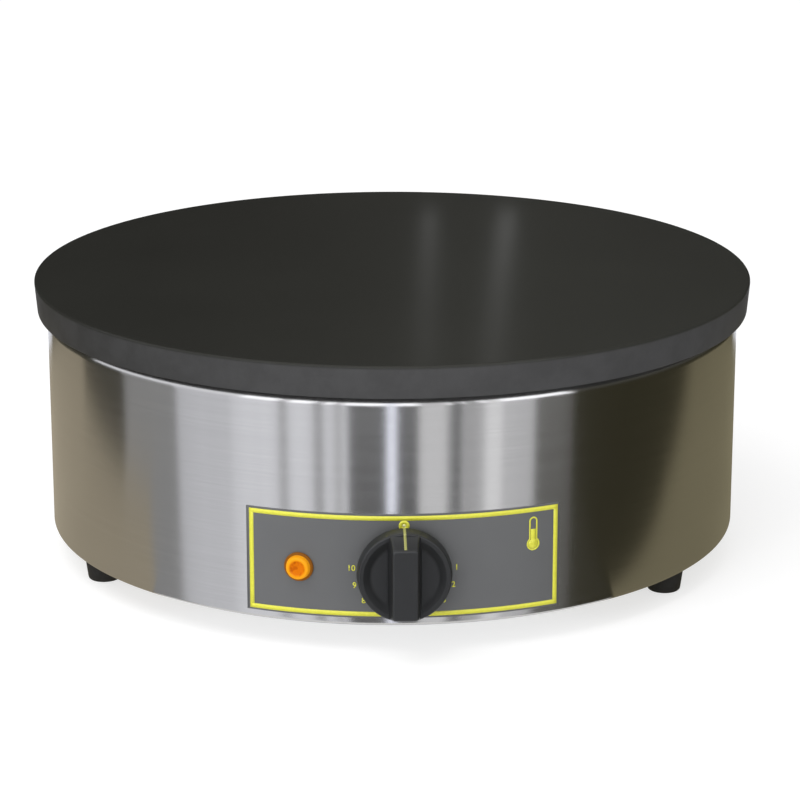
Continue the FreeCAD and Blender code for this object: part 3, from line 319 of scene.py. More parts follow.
soft_lamp("lamp_above", place=(-0.9, -0.9, 2.2), target=(0, 0, 0), size=1.6, power=24)
soft_lamp("lamp_front", place=(-0.9, -2.2, 0.9), target=(0, 0, 0.08), size=1.2, power=12)


# Cooking plate
# A cast-iron disc with a hanging rim, enamelled black all over. The top is ground flat
# before the enamel goes on, so it keeps a fine even tooth with faint paler patches.
def colour(red, green, blue):
    """A colour given as it looks on a screen, from 0 to 255, as light values."""
    shades = np.array((red, green, blue)) / 255
    light = np.where(shades <= 0.04045, shades / 12.92, ((shades + 0.055) / 1.055) ** 2.4)
    return (*(float(part) for part in light), 1.0)


def rounded(corners, radii, steps=6):
    """A path through corners, each replaced by an arc of its radius.

    The arc's middle lies on the corner's bisector, at radius / sin(half the corner's angle). Its
    points are the start and end arms, each weighted by the sine of its share of the sweep.
    """
    corners = np.array(corners, float)
    path = []
    for number, (corner, radius) in enumerate(zip(corners, radii)):
        if radius == 0:
            path.append(corner[None])
            continue
        before = corners[number - 1] - corner
        after = corners[(number + 1) % len(corners)] - corner
        before /= np.linalg.norm(before)
        after /= np.linalg.norm(after)
        half = math.acos(np.clip(before @ after, -1, 1)) / 2
        middle = corner + (before + after) / np.linalg.norm(before + after) * radius / math.sin(half)
        start = corner + before * radius / math.tan(half) - middle
        end = corner + after * radius / math.tan(half) - middle
        sweep = math.pi - 2 * half
        shares = np.linspace(0, 1, steps + 1)[:, None]
        path.append(middle + (np.sin((1 - shares) * sweep) * start + np.sin(shares * sweep) * end)
                    / math.sin(sweep))
    return np.concatenate(path)


def turned(profile, steps=288):
    """A path of radius r and height h carried round the Z axis: (r cos a, r sin a, h)."""
    angles = np.linspace(0, 2 * np.pi, steps, endpoint=False)
    radius, height = np.asarray(profile, float).T
    return np.stack((radius[:, None] * np.cos(angles), radius[:, None] * np.sin(angles),
                     np.repeat(height[:, None], steps, axis=1)), axis=2)


def skin(name, grids, around=True, closed=False, smooth_angle=35):
    """A mesh over grids of points, joined round each row and, if closed, last row to first."""
    vertices = []
    faces = []
    base = 0
    for grid in grids:
        rows, columns = grid.shape[:2]
        index = base + np.arange(rows * columns).reshape(rows, columns)
        if around:
            index = np.concatenate((index, index[:, :1]), axis=1)
        if closed:
            index = np.concatenate((index, index[:1]), axis=0)
        faces.append(np.stack((index[:-1, :-1], index[:-1, 1:], index[1:, 1:], index[1:, :-1]),
                              axis=2).reshape(-1, 4))
        vertices.append(grid.reshape(-1, 3))
        base += rows * columns
    mesh = bpy.data.meshes.new(name)
    mesh.from_pydata(np.concatenate(vertices).tolist(), [], np.concatenate(faces).tolist())
    work = bmesh.new()
    work.from_mesh(mesh)
    bmesh.ops.remove_doubles(work, verts=work.verts, dist=1e-6)
    bmesh.ops.recalc_face_normals(work, faces=work.faces)
    work.to_mesh(mesh)
    work.free()
    mesh.shade_smooth()
    mesh.set_sharp_from_angle(angle=math.radians(smooth_angle))
    made = bpy.data.objects.new(name, mesh)
    bpy.context.collection.objects.link(made)
    return made


def fit_out(piece, finish, body, slot, *nodes):
    """Gives a new piece its finish and body, and hides the nodes it stands for. Its slot is not used."""
    piece.data.materials.clear()
    piece.data.materials.append(finish.material)
    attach(piece, body)
    if nodes:
        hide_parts(*nodes)
    return piece


def black_enamel():
    """Black enamel under a thin gloss: dark and faintly olive on top, paler on the rim, with painted shade
    that darkens the left side of the top and of the rim.
    """
    made = Finish("black_enamel", ior=1.5, coat_roughness=0.13)
    cloud = made.grain(9, 3, 0.6)
    tooth = made.grain(1900, 3, 0.65)
    speck = made.band(made.grain(900, 1, 0.5), 0.62, 0.74)
    height = made.node("ShaderNodeSeparateXYZ", None, {0: made.place()}, 2)
    across = made.node("ShaderNodeSeparateXYZ", None, {0: made.place()}, 0)
    top = made.band(height, PLATE_TOP - 0.0022, PLATE_TOP - 0.0008)
    patch = made.band(made.grain(60, 4, 0.65), 0.35, 0.65)
    # Painted shade: the rim darkens towards the left, from x = 0 to x = -0.2, on top of its random patches
    # and tooth
    rim = made.mix(0.6 * made.band(across, -0.2, 0.0) + 0.2 * patch + 0.2 * tooth,
                   colour(48, 48, 47), colour(76, 76, 77))
    # Painted shade: the top runs from darker on the left to paler on the right across x, mixed with its
    # random paler patches
    face_tone_and_painted_shade = made.mix(made.band(across, -0.15, 0.12) * 0.6 + 0.4 * cloud,
                    colour(37, 37, 34), colour(53, 53, 49))
    face_tone_and_painted_shade = made.mix(speck * 0.15, face_tone_and_painted_shade, colour(66, 66, 61))
    made.set("Base Color", made.mix(top, rim, face_tone_and_painted_shade))
    made.set("Coat Weight", 0.2 * top)
    made.set("Specular IOR Level", 0.08)
    made.set("Roughness", 0.42 + 0.08 * cloud + 0.08 * tooth)
    return made.bump(tooth, 0.00010, 0.5)


plate_low, plate_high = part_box("cooking_plate")
PLATE_RADIUS = (plate_high[0] - plate_low[0]) / 2
PLATE_TOP = plate_high[2]
RIM_DEPTH = 0.0175
RIM_LEAN = 0.0015
RIM_WALL = 0.010
PLATE_WEB = 0.009
LUG_RADIUS = 0.005
LUG_TURNS = (45, 135, 225, 315)
TOP_ROUND = 0.0014
RIM_ROUND = 0.0009
WEB_ROUND = 0.002
LUG_ROUND = 0.0006
band_low, band_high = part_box("body_band")
BAND_TOP = band_high[2]

plate_profile = rounded(
    ((0, PLATE_TOP), (PLATE_RADIUS, PLATE_TOP), (PLATE_RADIUS - RIM_LEAN, PLATE_TOP - RIM_DEPTH),
     (PLATE_RADIUS - RIM_LEAN - RIM_WALL, PLATE_TOP - RIM_DEPTH),
     (PLATE_RADIUS - RIM_LEAN - RIM_WALL, PLATE_TOP - PLATE_WEB), (0, PLATE_TOP - PLATE_WEB)),
    (0, TOP_ROUND, RIM_ROUND, RIM_ROUND, WEB_ROUND, 0))
lug_path = rounded(((0, BAND_TOP), (LUG_RADIUS, BAND_TOP), (LUG_RADIUS, PLATE_TOP - PLATE_WEB),
                    (0, PLATE_TOP - PLATE_WEB)), (0, LUG_ROUND, 0, 0))
lug_circle = PLATE_RADIUS - RIM_LEAN - RIM_WALL - LUG_RADIUS
plate_grids = [turned(plate_profile)]
for corner in np.radians(LUG_TURNS):
    shift = np.array((math.cos(corner), math.sin(corner), 0)) * lug_circle
    plate_grids.append(turned(lug_path, 32) + shift)
fit_out(skin("plate", plate_grids), black_enamel(), "body", "enamelled_iron", "cooking_plate")


# Body band
# A strip of stainless steel, brushed along its length, rolled into a drum and welded.
# Its top and bottom edges are turned in over a small radius.
def brushed_steel(name, shade, rough):
    """Steel brushed round the drum: fine long lines, and gloss that spreads up and down."""
    made = Finish(name, metallic=1.0, anisotropic=0.96, anisotropic_rotation=0.25)
    line = made.grain(1, 4, 0.65, (9, 9, 2600))
    streak = made.grain(1, 2, 0.5, (3, 3, 420))
    pale = made.mix(line, colour(*(part * 0.93 for part in shade)), colour(*shade))
    made.set("Base Color", pale)
    made.set("Roughness", rough + 0.05 * line + 0.04 * streak)
    return made.bump(line, 0.00002, 0.35)


BAND_RADIUS = (band_high[0] - band_low[0]) / 2
BAND_FOOT = band_low[2]
BAND_SHEET = 0.001
BAND_LIP = 0.014
BAND_HEM = 0.011
BAND_BEND = 0.0055
HEM_BEND = 0.0018

band_profile = rounded(
    ((BAND_RADIUS - BAND_LIP, BAND_TOP), (BAND_RADIUS, BAND_TOP), (BAND_RADIUS, BAND_FOOT),
     (BAND_RADIUS - BAND_HEM, BAND_FOOT), (BAND_RADIUS - BAND_HEM, BAND_FOOT + BAND_SHEET),
     (BAND_RADIUS - BAND_SHEET, BAND_FOOT + BAND_SHEET), (BAND_RADIUS - BAND_SHEET, BAND_TOP - BAND_SHEET),
     (BAND_RADIUS - BAND_LIP, BAND_TOP - BAND_SHEET)),
    (0, BAND_BEND, HEM_BEND, 0, 0, HEM_BEND - BAND_SHEET, BAND_BEND - BAND_SHEET, 0), 10)
steel = brushed_steel("band_steel", (206, 205, 203), 0.13)
fit_out(skin("band", [turned(band_profile)], closed=True), steel, "body", "stainless", "body_band")


# Dial panel
# A thin grey plastic sheet glued round the front of the band, with the dial printed on it
# in yellow: a frame line, ten numbers, an off mark over the knob and a thermometer sign.
def onto_drum(flat, radius):
    """Wraps distance round d and height h onto a drum: (r sin(d / r), -r cos(d / r), h)."""
    angles = flat[..., 0] / radius
    return np.stack((radius * np.sin(angles), -radius * np.cos(angles), flat[..., 1]), axis=-1)


def printed(name, flat_grids, finish, closed_rows=False):
    """A thin layer of ink on the panel, from grids of distance round and height."""
    made = skin(name, [onto_drum(grid, INK_RADIUS) for grid in flat_grids], around=closed_rows)
    return ink_layer(made, finish)


def ink_layer(made, finish):
    """Turns a flat print outwards, gives it the thickness of ink and fixes it to the panel."""
    mesh = made.data
    out = np.empty(len(mesh.polygons) * 3)
    mesh.polygons.foreach_get("normal", out)
    middles = np.empty(len(mesh.polygons) * 3)
    mesh.polygons.foreach_get("center", middles)
    facing = (out.reshape(-1, 3)[:, :2] * middles.reshape(-1, 3)[:, :2]).sum()
    if facing < 0:
        mesh.flip_normals()
    thick = made.modifiers.new("ink", "SOLIDIFY")
    thick.thickness = INK_DEPTH
    thick.offset = 1
    return fit_out(made, finish, "body", "panel_grey")


def stroke(path, width):
    """A ribbon along a flat path: the path plus and minus half the width times its normal."""
    along = np.gradient(path, axis=0)
    along /= np.linalg.norm(along, axis=1)[:, None]
    side = np.column_stack((-along[:, 1], along[:, 0])) * width / 2
    return np.stack((path - side, path + side))


def panel_grey():
    """Satin grey print on plastic, with a faint orange-peel surface."""
    made = Finish("panel_grey", ior=1.5)
    cloud = made.grain(30, 2, 0.5)
    peel = made.grain(1200, 2, 0.5)
    made.set("Base Color", made.mix(cloud, colour(92, 93, 94), colour(99, 100, 101)))
    made.set("Roughness", 0.36 + 0.08 * cloud)
    return made.bump(peel, 0.00003, 0.3)


def yellow_ink():
    """Opaque yellow ink, a little uneven in its cover."""
    made = Finish("yellow_ink", ior=1.5)
    cover = made.grain(700, 2, 0.5)
    made.set("Base Color", made.mix(cover, colour(214, 212, 52), colour(233, 231, 74)))
    made.set("Roughness", 0.38 + 0.10 * cover)
    return made


panel_low, panel_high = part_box("dial_panel")
PANEL_SHEET = 0.0004
PANEL_GLUE = 0.00005
PANEL_OUTER = BAND_RADIUS + PANEL_GLUE + PANEL_SHEET
PANEL_WIDTH = 2 * PANEL_OUTER * math.asin(panel_high[0] / PANEL_OUTER)
PANEL_FOOT = panel_low[2]
PANEL_TOP = panel_high[2]
INK_DEPTH = 0.00008
INK_GAP = 0.00001
INK_RADIUS = PANEL_OUTER + INK_GAP
knob_low, knob_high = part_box("control_knob")
KNOB_LEVEL = (knob_low[2] + knob_high[2]) / 2

columns = np.linspace(-PANEL_WIDTH / 2, PANEL_WIDTH / 2, 97)
section = np.array(((PANEL_OUTER - PANEL_SHEET, PANEL_FOOT), (PANEL_OUTER, PANEL_FOOT),
                    (PANEL_OUTER, PANEL_TOP), (PANEL_OUTER - PANEL_SHEET, PANEL_TOP)))
angles = columns / PANEL_OUTER
panel_grid = np.stack((section[:, :1] * np.sin(angles), -section[:, :1] * np.cos(angles),
                       np.repeat(section[:, 1:], len(angles), axis=1)), axis=2)
panel = skin("panel", [panel_grid], around=False, closed=True)
caps = bmesh.new()
caps.from_mesh(panel.data)
bmesh.ops.holes_fill(caps, edges=[edge for edge in caps.edges if edge.is_boundary])
bmesh.ops.recalc_face_normals(caps, faces=caps.faces)
caps.to_mesh(panel.data)
caps.free()
fit_out(panel, panel_grey(), "body", "panel_grey", "dial_panel")

LINE_WIDTH = 0.0024
FRAME_HALF = 0.08045
FRAME_SHIFT = 0.00035
FRAME_FOOT = 0.0212
FRAME_TOP = 0.0730
yellow = yellow_ink()
across = FRAME_SHIFT + np.linspace(-FRAME_HALF - LINE_WIDTH / 2, FRAME_HALF + LINE_WIDTH / 2, 81)
upward = np.linspace(FRAME_FOOT + LINE_WIDTH / 2, FRAME_TOP - LINE_WIDTH / 2, 9)
frame_lines = [stroke(np.column_stack((across, np.full(len(across), level))), LINE_WIDTH)
               for level in (FRAME_FOOT, FRAME_TOP)]
frame_lines += [stroke(np.column_stack((np.full(len(upward), side), upward)), LINE_WIDTH)
                for side in (FRAME_SHIFT - FRAME_HALF, FRAME_SHIFT + FRAME_HALF)]
printed("panel_frame_line", frame_lines, yellow)


def disc(middle, outer, inner=0.0):
    """A flat ring: its middle plus each radius times (cos a, sin a). A disc where inner is 0."""
    turn = np.linspace(0, 2 * np.pi, 40, endpoint=False)
    circle = np.column_stack((np.cos(turn), np.sin(turn)))
    return np.stack((middle + circle * inner, middle + circle * outer))


OFF_RISE = 0.0239
OFF_OUTER = 0.0028
OFF_INNER = 0.0009
off_middle = np.array((0.0, KNOB_LEVEL + OFF_RISE))
printed("off_mark", [disc(off_middle, OFF_OUTER, OFF_INNER)], yellow, closed_rows=True)
pale_ink = Finish("pale_ink", ior=1.5, roughness=0.4)
pale_ink.set("Base Color", pale_ink.mix(pale_ink.grain(700), colour(232, 230, 150), colour(240, 238, 176)))
printed("off_mark_middle", [disc(off_middle, OFF_INNER)], pale_ink, closed_rows=True)

NUMBER_RING = 0.0270
NUMBER_LEVEL = KNOB_LEVEL + 0.0006
NUMBER_HEIGHT = 0.0031
NUMBER_STEP = math.radians(20)
NUMBER_COUNT = 10
TYPE_SIZE = NUMBER_HEIGHT * 1.4
TYPE_BOLDER = NUMBER_HEIGHT * 0.02


def number_print(text, middle):
    """One number in plain type, centred on a flat point, as a flat mesh."""
    words = bpy.data.curves.new("number_type", "FONT")
    words.body = text
    words.size = TYPE_SIZE
    words.align_x = "CENTER"
    words.align_y = "CENTER"
    words.offset = TYPE_BOLDER
    holder = bpy.data.objects.new("number_type", words)
    bpy.context.collection.objects.link(holder)
    bpy.context.view_layer.update()
    mesh = bpy.data.meshes.new_from_object(holder.evaluated_get(bpy.context.evaluated_depsgraph_get()))
    bpy.data.objects.remove(holder)
    flat = np.empty(len(mesh.vertices) * 3)
    mesh.vertices.foreach_get("co", flat)
    flat = flat.reshape(-1, 3)[:, :2] + middle
    mesh.vertices.foreach_set("co", onto_drum(flat, INK_RADIUS).ravel())
    mesh.update()
    made = bpy.data.objects.new("number_" + text, mesh)
    bpy.context.collection.objects.link(made)
    return made


for number in range(1, NUMBER_COUNT + 1):
    turn = math.pi / 2 + (number - 1) * NUMBER_STEP
    middle = np.array((NUMBER_RING * math.sin(turn), NUMBER_LEVEL + NUMBER_RING * math.cos(turn)))
    ink_layer(number_print(str(number), middle), yellow)

GAUGE_PLACE = np.array((0.0681, 0.0514))
GAUGE_HEIGHT = 0.0174
GAUGE_STEM = 0.0019
GAUGE_BULB = 0.0032
GAUGE_LINE = 0.0008
COLUMN_RISE = 0.0112
COLUMN_WIDTH = 0.0027


def gauge_outline():
    """The thermometer: a half circle over a stem that meets a circle where sin(join) = stem / bulb."""
    bulb = GAUGE_PLACE + (0, GAUGE_BULB)
    join = math.asin(GAUGE_STEM / GAUGE_BULB)
    low = np.linspace(join, 2 * math.pi - join, 40)
    round_bulb = bulb + GAUGE_BULB * np.column_stack((np.sin(low), np.cos(low)))
    top = GAUGE_PLACE + (0, GAUGE_HEIGHT - GAUGE_STEM)
    high = np.linspace(-math.pi / 2, math.pi / 2, 20)
    round_top = top + GAUGE_STEM * np.column_stack((np.sin(high), np.cos(high)))
    return np.concatenate((round_bulb, round_top))


outline = gauge_outline()
gauge_line = stroke(np.concatenate((outline, outline[:1])), GAUGE_LINE)
column_path = np.column_stack((np.full(8, GAUGE_PLACE[0]),
                               GAUGE_PLACE[1] + np.linspace(GAUGE_BULB, COLUMN_RISE, 8)))
gauge_dot = disc(GAUGE_PLACE + (0, GAUGE_BULB), COLUMN_WIDTH)
printed("gauge_outline", [gauge_line], yellow)
printed("gauge_column", [stroke(column_path, COLUMN_WIDTH)], yellow)
printed("gauge_bulb", [gauge_dot], yellow, closed_rows=True)


# Control knob
# Moulded black plastic with a fine satin surface: a skirt round a sunk face, and a grip bar
# that stands across it. A painted line on the bar's upper end and the skirt shows the setting.
def from_front(flat_and_out):
    """Turns (right, up, out of the band's front) into (right, -band radius - out, knob level + up)."""
    right, up, out = np.moveaxis(flat_and_out, -1, 0)
    return np.stack((right, -BAND_RADIUS - out, KNOB_LEVEL + up), axis=-1)


def satin_plastic(name, shade, rough=0.33):
    """Moulded plastic with a fine spark-eroded texture."""
    made = Finish(name, ior=1.5)
    texture = made.grain(2600, 2, 0.5)
    cloud = made.grain(60, 2, 0.5)
    dark_shade = colour(*(part * 0.88 for part in shade))
    made.set("Base Color", made.mix(cloud, dark_shade, colour(*shade)))
    made.set("Roughness", rough + 0.08 * cloud + 0.06 * texture)
    return made.bump(texture, 0.00004, 0.35)


KNOB_BACK = -knob_high[1] - BAND_RADIUS
KNOB_REACH = -knob_low[1] - BAND_RADIUS
KNOB_RADIUS = (knob_high[0] - knob_low[0]) / 2
FACE_RADIUS = 0.0237
FACE_EDGE = 0.013
FACE_FLOOR = 0.0105
GRIP_WIDTH = 0.0135
GRIP_ROOT = 0.0180
GRIP_LENGTH = 0.0380
GRIP_ROOT_LENGTH = 0.0462

SKIRT_WALL = 0.0022
SKIRT_HOLLOW = 0.003
LIP_WIDTH = 0.0024
DISH_START = 0.0066
SKIRT_ROUNDS = (0, 0.0008, 0.0004, 0.0011, 0.0009, 0.0012, 0.0050, 0)

skirt_profile = rounded(
    ((0, KNOB_BACK + SKIRT_HOLLOW), (KNOB_RADIUS - SKIRT_WALL, KNOB_BACK + SKIRT_HOLLOW),
     (KNOB_RADIUS - SKIRT_WALL, KNOB_BACK), (KNOB_RADIUS, KNOB_BACK), (FACE_RADIUS, FACE_EDGE),
     (FACE_RADIUS - LIP_WIDTH, FACE_EDGE), (FACE_RADIUS - DISH_START, FACE_FLOOR), (0, FACE_FLOOR)),
    SKIRT_ROUNDS, 8)
skirt = from_front(turned(skirt_profile, 160))

EDGE_ROUND = 0.0013
GRIP_CORNER = 0.0018
GRIP_SUNK = 0.001
SIDE_FLARE = 2.2
END_FLARE = 1.6
GRIP_LEVELS = 22
# The grip's half width and half length fall from the root's to the top's while it rises, and
# an arc of EDGE_ROUND turns them in at the top.
shares = np.linspace(0, 1, GRIP_LEVELS)
curl = np.linspace(0, np.pi / 2, 7)[1:]
cap = np.linspace(1, 0, 9)[1:-1]
half_width = GRIP_WIDTH / 2 + (GRIP_ROOT - GRIP_WIDTH) / 2 * (1 - shares) ** SIDE_FLARE
half_length = GRIP_LENGTH / 2 + (GRIP_ROOT_LENGTH - GRIP_LENGTH) / 2 * (1 - shares ** END_FLARE)
rise = FACE_FLOOR - GRIP_SUNK + shares * (KNOB_REACH - EDGE_ROUND - FACE_FLOOR + GRIP_SUNK)
inward = EDGE_ROUND * (1 - np.cos(curl))
half_width = np.concatenate((half_width, half_width[-1] - inward, (half_width[-1] - EDGE_ROUND) * cap))
half_length = np.concatenate((half_length, half_length[-1] - inward, half_length[-1] - EDGE_ROUND - 0 * cap))
rise = np.concatenate((rise, KNOB_REACH - EDGE_ROUND * (1 - np.sin(curl)), KNOB_REACH + 0 * cap))


def grip_section(half_width, half_length, level):
    """An oblong of two half widths with arcs at its corners, at one level out from the band."""
    corner = min(GRIP_CORNER, half_width * 0.6)
    outline = rounded(((half_width, -half_length), (half_width, half_length), (-half_width, half_length),
                       (-half_width, -half_length)), (corner,) * 4, 7)
    return np.column_stack((outline, np.full(len(outline), level)))


sections = np.stack([grip_section(*row) for row in zip(half_width, half_length, rise)])
closing_line = sections[-1:] * (0, 1, 1)
grip = from_front(np.concatenate((sections, closing_line)))
knob = skin("knob", [skirt, grip], smooth_angle=40)
fit_out(knob, satin_plastic("black_plastic", (35, 36, 37)), "knob", "black_plastic", "control_knob")

INDEX_WIDTH = 0.0014
INK_STAND = 0.00006
INDEX_START = 0.0008
INDEX_TURN = 0.0009
# The line climbs the skirt's wall, turns over the rim's edge and goes on up the grip's end
wall_out = np.linspace(KNOB_BACK + INDEX_START, FACE_EDGE - INDEX_TURN, 12)
wall_up = KNOB_RADIUS + (FACE_RADIUS - KNOB_RADIUS) * (wall_out - KNOB_BACK) / (FACE_EDGE - KNOB_BACK)
over_up = FACE_RADIUS - np.array((0.0001, 0.0004, 0.0008))
over_out = FACE_EDGE - np.array((0.0004, 0.0001, -INK_STAND))
end_share = np.linspace(0.25, 1, 16)
end_out = FACE_FLOOR - GRIP_SUNK + end_share * (KNOB_REACH - EDGE_ROUND - FACE_FLOOR + GRIP_SUNK)
end_up = GRIP_LENGTH / 2 + (GRIP_ROOT_LENGTH - GRIP_LENGTH) / 2 * (1 - end_share ** END_FLARE)
index_up = np.concatenate((wall_up, over_up, end_up)) + INK_STAND
index_out = np.concatenate((wall_out, over_out, end_out))
sides = np.array((-INDEX_WIDTH / 2, 0, INDEX_WIDTH / 2))[:, None]
on_skirt = np.concatenate((np.ones(len(wall_up) + len(over_up)), np.zeros(len(end_up))))
lifted = index_up - on_skirt * (index_up - np.sqrt(index_up ** 2 - sides ** 2))
index_grid = from_front(np.stack((sides + 0 * index_up, lifted, index_out + 0 * sides), axis=2))
index = skin("index_line", [index_grid], around=False)
thick = index.modifiers.new("paint", "SOLIDIFY")
thick.thickness = INK_STAND
thick.offset = 0
cream = Finish("index_paint", ior=1.5)
cream.set("Base Color", cream.mix(cream.grain(900), colour(156, 156, 88), colour(174, 174, 104)))
cream.set("Roughness", 0.42 + 0.08 * cream.grain(500))
fit_out(index, cream, "knob", "black_plastic")


# Pilot lamp
# A clear amber lens with a flange, pushed through the panel from the front and held by a
# ring nut behind the band. Light from inside makes its rim bright and its middle deeper.
LAMP_FLANGE = 0.0077
LAMP_RADIUS = 0.00625
LAMP_STEM = 0.0055
LAMP_STEM_LENGTH = 0.0075
LAMP_TO_LEFT = 0.0542
LAMP_ANGLE = math.radians(270) - LAMP_TO_LEFT / BAND_RADIUS
LAMP_GAP = 0.00005
LAMP_SEAT = PANEL_OUTER + LAMP_GAP
FLANGE_THICK = 0.0012
FLANGE_SLOPE = 0.0002
LENS_HIGH = 0.0040
LENS_LEAN = 0.0003
LENS_RIM = 0.0022
LENS_DISH = 0.0030
LENS_DISH_LEVEL = 0.0032
LENS_MIDDLE_LEVEL = 0.0030
LENS_ROUNDS = (0, 0, 0, 0, 0.0006, 0.0004, 0.0012, 0.0005, 0.0006, 0)

lens_profile = rounded(
    ((0, -LAMP_STEM_LENGTH), (LAMP_STEM, -LAMP_STEM_LENGTH), (LAMP_STEM, 0), (LAMP_FLANGE, 0),
     (LAMP_FLANGE, FLANGE_THICK), (LAMP_RADIUS, FLANGE_THICK + FLANGE_SLOPE),
     (LAMP_RADIUS - LENS_LEAN, LENS_HIGH), (LAMP_RADIUS - LENS_RIM, LENS_HIGH),
     (LAMP_RADIUS - LENS_DISH, LENS_DISH_LEVEL), (0, LENS_MIDDLE_LEVEL)), LENS_ROUNDS)


def amber(name):
    """Amber plastic: yellow-orange where it is thin at the rim, deep orange in the middle."""
    made = Finish(name, ior=1.49, roughness=0.3)
    made.set("Specular IOR Level", 0.06)
    reach = made.node("ShaderNodeAttribute", {"attribute_name": "reach"}, None, "Fac")
    rim = made.band(reach, 0.42, 0.66)
    flange = made.band(reach, 0.80, 0.86)
    spot = made.band(made.grain(420, 1, 0.5), 0.4, 0.6)
    middle = made.mix(spot, colour(178, 84, 0), colour(200, 106, 2))
    glow = made.mix(rim, middle, colour(226, 150, 22))
    glow = made.mix(flange, glow, colour(122, 74, 18))
    made.set("Base Color", glow)
    made.set("Emission Color", glow)
    made.set("Emission Strength", 0.26)
    return made


lamp_turn = Matrix.Rotation(LAMP_ANGLE, 4, "Z") @ Matrix.Translation((LAMP_SEAT, 0, KNOB_LEVEL))
lamp_turn = lamp_turn @ Matrix.Rotation(math.pi / 2, 4, "Y")
lamp = skin("lamp", [turned(lens_profile, 96)])
flat = np.empty(len(lamp.data.vertices) * 3)
lamp.data.vertices.foreach_get("co", flat)
# Each point's distance from the lens's middle, as a share of the flange's radius, for the finish
reach = np.linalg.norm(flat.reshape(-1, 3)[:, :2], axis=1) / LAMP_FLANGE
lamp.data.attributes.new("reach", "FLOAT", "POINT").data.foreach_set("value", reach)
lamp.data.transform(lamp_turn)
fit_out(lamp, amber("amber_lens"), "body", "amber_lens", "lamp_lens")


# Feet
# Three moulded rubber feet, wider at the top, one behind and two in front. A screw goes up
# through the recess in each sole into the floor of the drum.
def rubber():
    """Black rubber with a dull bloom."""
    made = Finish("black_rubber", ior=1.45)
    bloom = made.grain(160, 3, 0.6)
    pore = made.grain(2200, 2, 0.5)
    made.set("Base Color", made.mix(bloom, colour(24, 24, 25), colour(38, 38, 38)))
    made.set("Roughness", 0.55 + 0.15 * bloom)
    return made.bump(pore, 0.00005, 0.4)


FOOT_TOP_RADIUS = 0.0106
FOOT_SOLE_RADIUS = 0.0088
FOOT_RECESS = 0.0052
FOOT_HOLE = 0.0026
FOOT_RECESS_DEPTH = 0.007
FOOT_ROUNDS = (0.0004, 0.0018, 0.0003, 0, 0, 0)
black_rubber = rubber()
for place_name in ("rear", "front_left", "front_right"):
    low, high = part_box("foot_" + place_name)
    height = high[2]
    foot_profile = rounded(
        ((FOOT_RECESS, 0), (FOOT_SOLE_RADIUS, 0), (FOOT_TOP_RADIUS, height), (FOOT_HOLE, height),
         (FOOT_HOLE, FOOT_RECESS_DEPTH), (FOOT_RECESS, FOOT_RECESS_DEPTH)), FOOT_ROUNDS)
    middle = np.array(((low[0] + high[0]) / 2, (low[1] + high[1]) / 2, 0))
    foot = skin("rubber_foot_" + place_name, [turned(foot_profile, 64) + middle], closed=True)
    fit_out(foot, black_rubber, "body", "black_rubber", "foot_" + place_name)


# Floor of the drum, tie rods and fasteners
# The floor is a disc of aluminised sheet steel with vent slots. Four rods hang from the plate
# and draw it up against the band. Rods, nuts, washers and screws are zinc plated.
def repaint(finish, *names):
    """Gives kept pieces a finish."""
    for name in names:
        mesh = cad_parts[name].data
        mesh.materials.clear()
        mesh.materials.append(finish.material)


def coated_sheet():
    """Aluminised steel: a pale, soft spangle."""
    made = Finish("coated_sheet", metallic=1.0)
    spangle = made.node("ShaderNodeTexVoronoi", None, {"Vector": made.place(), "Scale": 160.0})
    haze = made.grain(40, 3, 0.6)
    made.set("Base Color", made.mix(spangle, colour(168, 170, 172), colour(196, 197, 198)))
    made.set("Roughness", 0.38 + 0.12 * haze + 0.08 * spangle)
    return made


def zinc_plate():
    """Bright zinc with fine turning marks and dull patches."""
    made = Finish("zinc_plate", metallic=1.0)
    haze = made.grain(220, 3, 0.6)
    mark = made.grain(1, 2, 0.5, (400, 400, 3000))
    made.set("Base Color", made.mix(haze, colour(170, 172, 170), colour(204, 204, 198)))
    made.set("Roughness", 0.28 + 0.14 * haze)
    return made.bump(mark, 0.00002, 0.4)


sheet_finish = coated_sheet()
zinc = zinc_plate()
repaint(sheet_finish, "base_plate", "element_clamp", "insulation_pan")
repaint(zinc, "foot_screws", "foot_nuts", "tie_rods", "clamp_nuts", "pan_nuts", "base_washers", "base_nuts",
        "element_pins", "bulb_saddles", "thermostat_bracket", "thermostat_screws", "thermostat_shaft",
        "block_screws", "earth_stud", "earth_nut")


# Heating
# Two tubular elements in a heat-tinted steel sheath lie under the plate, on a clamp sheet
# and a pad of mineral wool in a shallow pan.
def heat_tinted():
    """Steel sheath with straw and blue-grey tints from heat."""
    made = Finish("element_sheath", metallic=1.0)
    tint = made.grain(30, 3, 0.6)
    made.set("Base Color", made.mix(tint, colour(92, 84, 76), colour(128, 120, 104)))
    made.set("Roughness", 0.42 + 0.15 * made.grain(500, 2))
    return made


def wool():
    """Pale mineral wool: tangled fibres with soft hollows."""
    made = Finish("mineral_wool", roughness=0.95)
    fibre = made.grain(1, 4, 0.7, (1400, 300, 1400))
    tuft = made.grain(90, 3, 0.6)
    made.set("Base Color", made.mix(fibre, colour(196, 190, 170), colour(232, 228, 214)))
    return made.bump(fibre * 0.5 + tuft, 0.0006, 0.7)


repaint(heat_tinted(), "outer_element", "inner_element")
repaint(wool(), "insulation_pad")


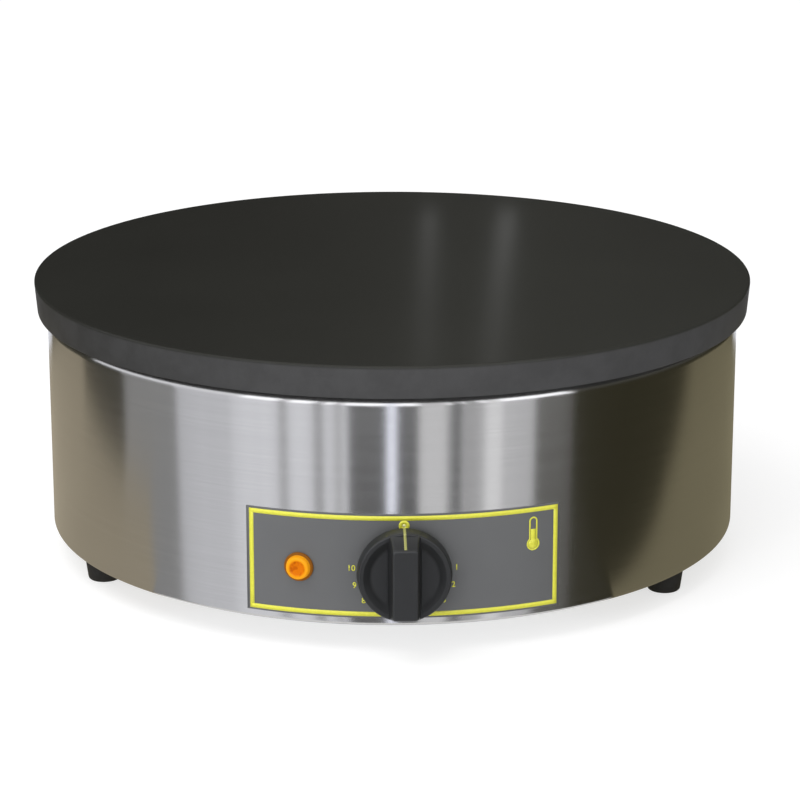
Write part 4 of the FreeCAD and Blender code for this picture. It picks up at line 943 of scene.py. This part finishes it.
# Thermostat, lamp holder and wiring
# A phenolic thermostat with a copper capillary and bulb, a white lamp holder, a ceramic
# terminal block with brass inserts, and silicone-sleeved wires.
def metal(name, dark_shade, pale_shade, rough):
    """A plain drawn metal, slightly clouded."""
    made = Finish(name, metallic=1.0)
    cloud = made.grain(260, 3, 0.6)
    made.set("Base Color", made.mix(cloud, colour(*dark_shade), colour(*pale_shade)))
    made.set("Roughness", rough + 0.14 * cloud)
    return made


def sleeve(name, shade):
    """Silicone wire sleeve: soft, slightly dusty."""
    made = Finish(name, ior=1.43)
    dust = made.grain(400, 3, 0.6)
    made.set("Base Color", made.mix(dust, colour(*(part * 0.86 for part in shade)), colour(*shade)))
    made.set("Roughness", 0.48 + 0.14 * dust)
    return made


def ceramic():
    """Unglazed white ceramic with a fine tooth."""
    made = Finish("white_ceramic", ior=1.6)
    tooth = made.grain(1500, 3, 0.6)
    made.set("Base Color", made.mix(made.grain(80), colour(226, 221, 210), colour(238, 235, 228)))
    made.set("Roughness", 0.55 + 0.15 * tooth)
    return made.bump(tooth, 0.00005, 0.4)


repaint(satin_plastic("thermostat_case", (70, 52, 40), 0.42), "thermostat_housing")
repaint(satin_plastic("white_plastic", (224, 222, 214), 0.36), "lamp_body", "lamp_nut")
repaint(metal("copper_tube", (150, 88, 56), (196, 128, 92), 0.26), "sensing_bulb", "capillary")
repaint(metal("bright_brass", (172, 138, 66), (208, 178, 104), 0.24),
        "thermostat_tabs", "lamp_tabs", "block_inserts", "earth_lug")
repaint(ceramic(), "terminal_block")
repaint(sleeve("wire_brown", (96, 58, 34)), "wire_live")
repaint(sleeve("wire_white", (226, 224, 214)), "wire_heat", "wire_link", "wire_pilot")
repaint(sleeve("wire_blue", (42, 88, 158)), "wire_neutral", "wire_lamp_return")
repaint(sleeve("wire_green", (96, 148, 58)), "wire_earth")


# Cable gland
# A black polyamide gland at the rear, held by a locknut behind the band. Its dome nut
# presses a rubber seal on the mains lead.
repaint(satin_plastic("gland_plastic", (34, 34, 35), 0.40), "gland_body", "gland_locknut", "gland_dome_nut")
repaint(black_rubber, "gland_seal")
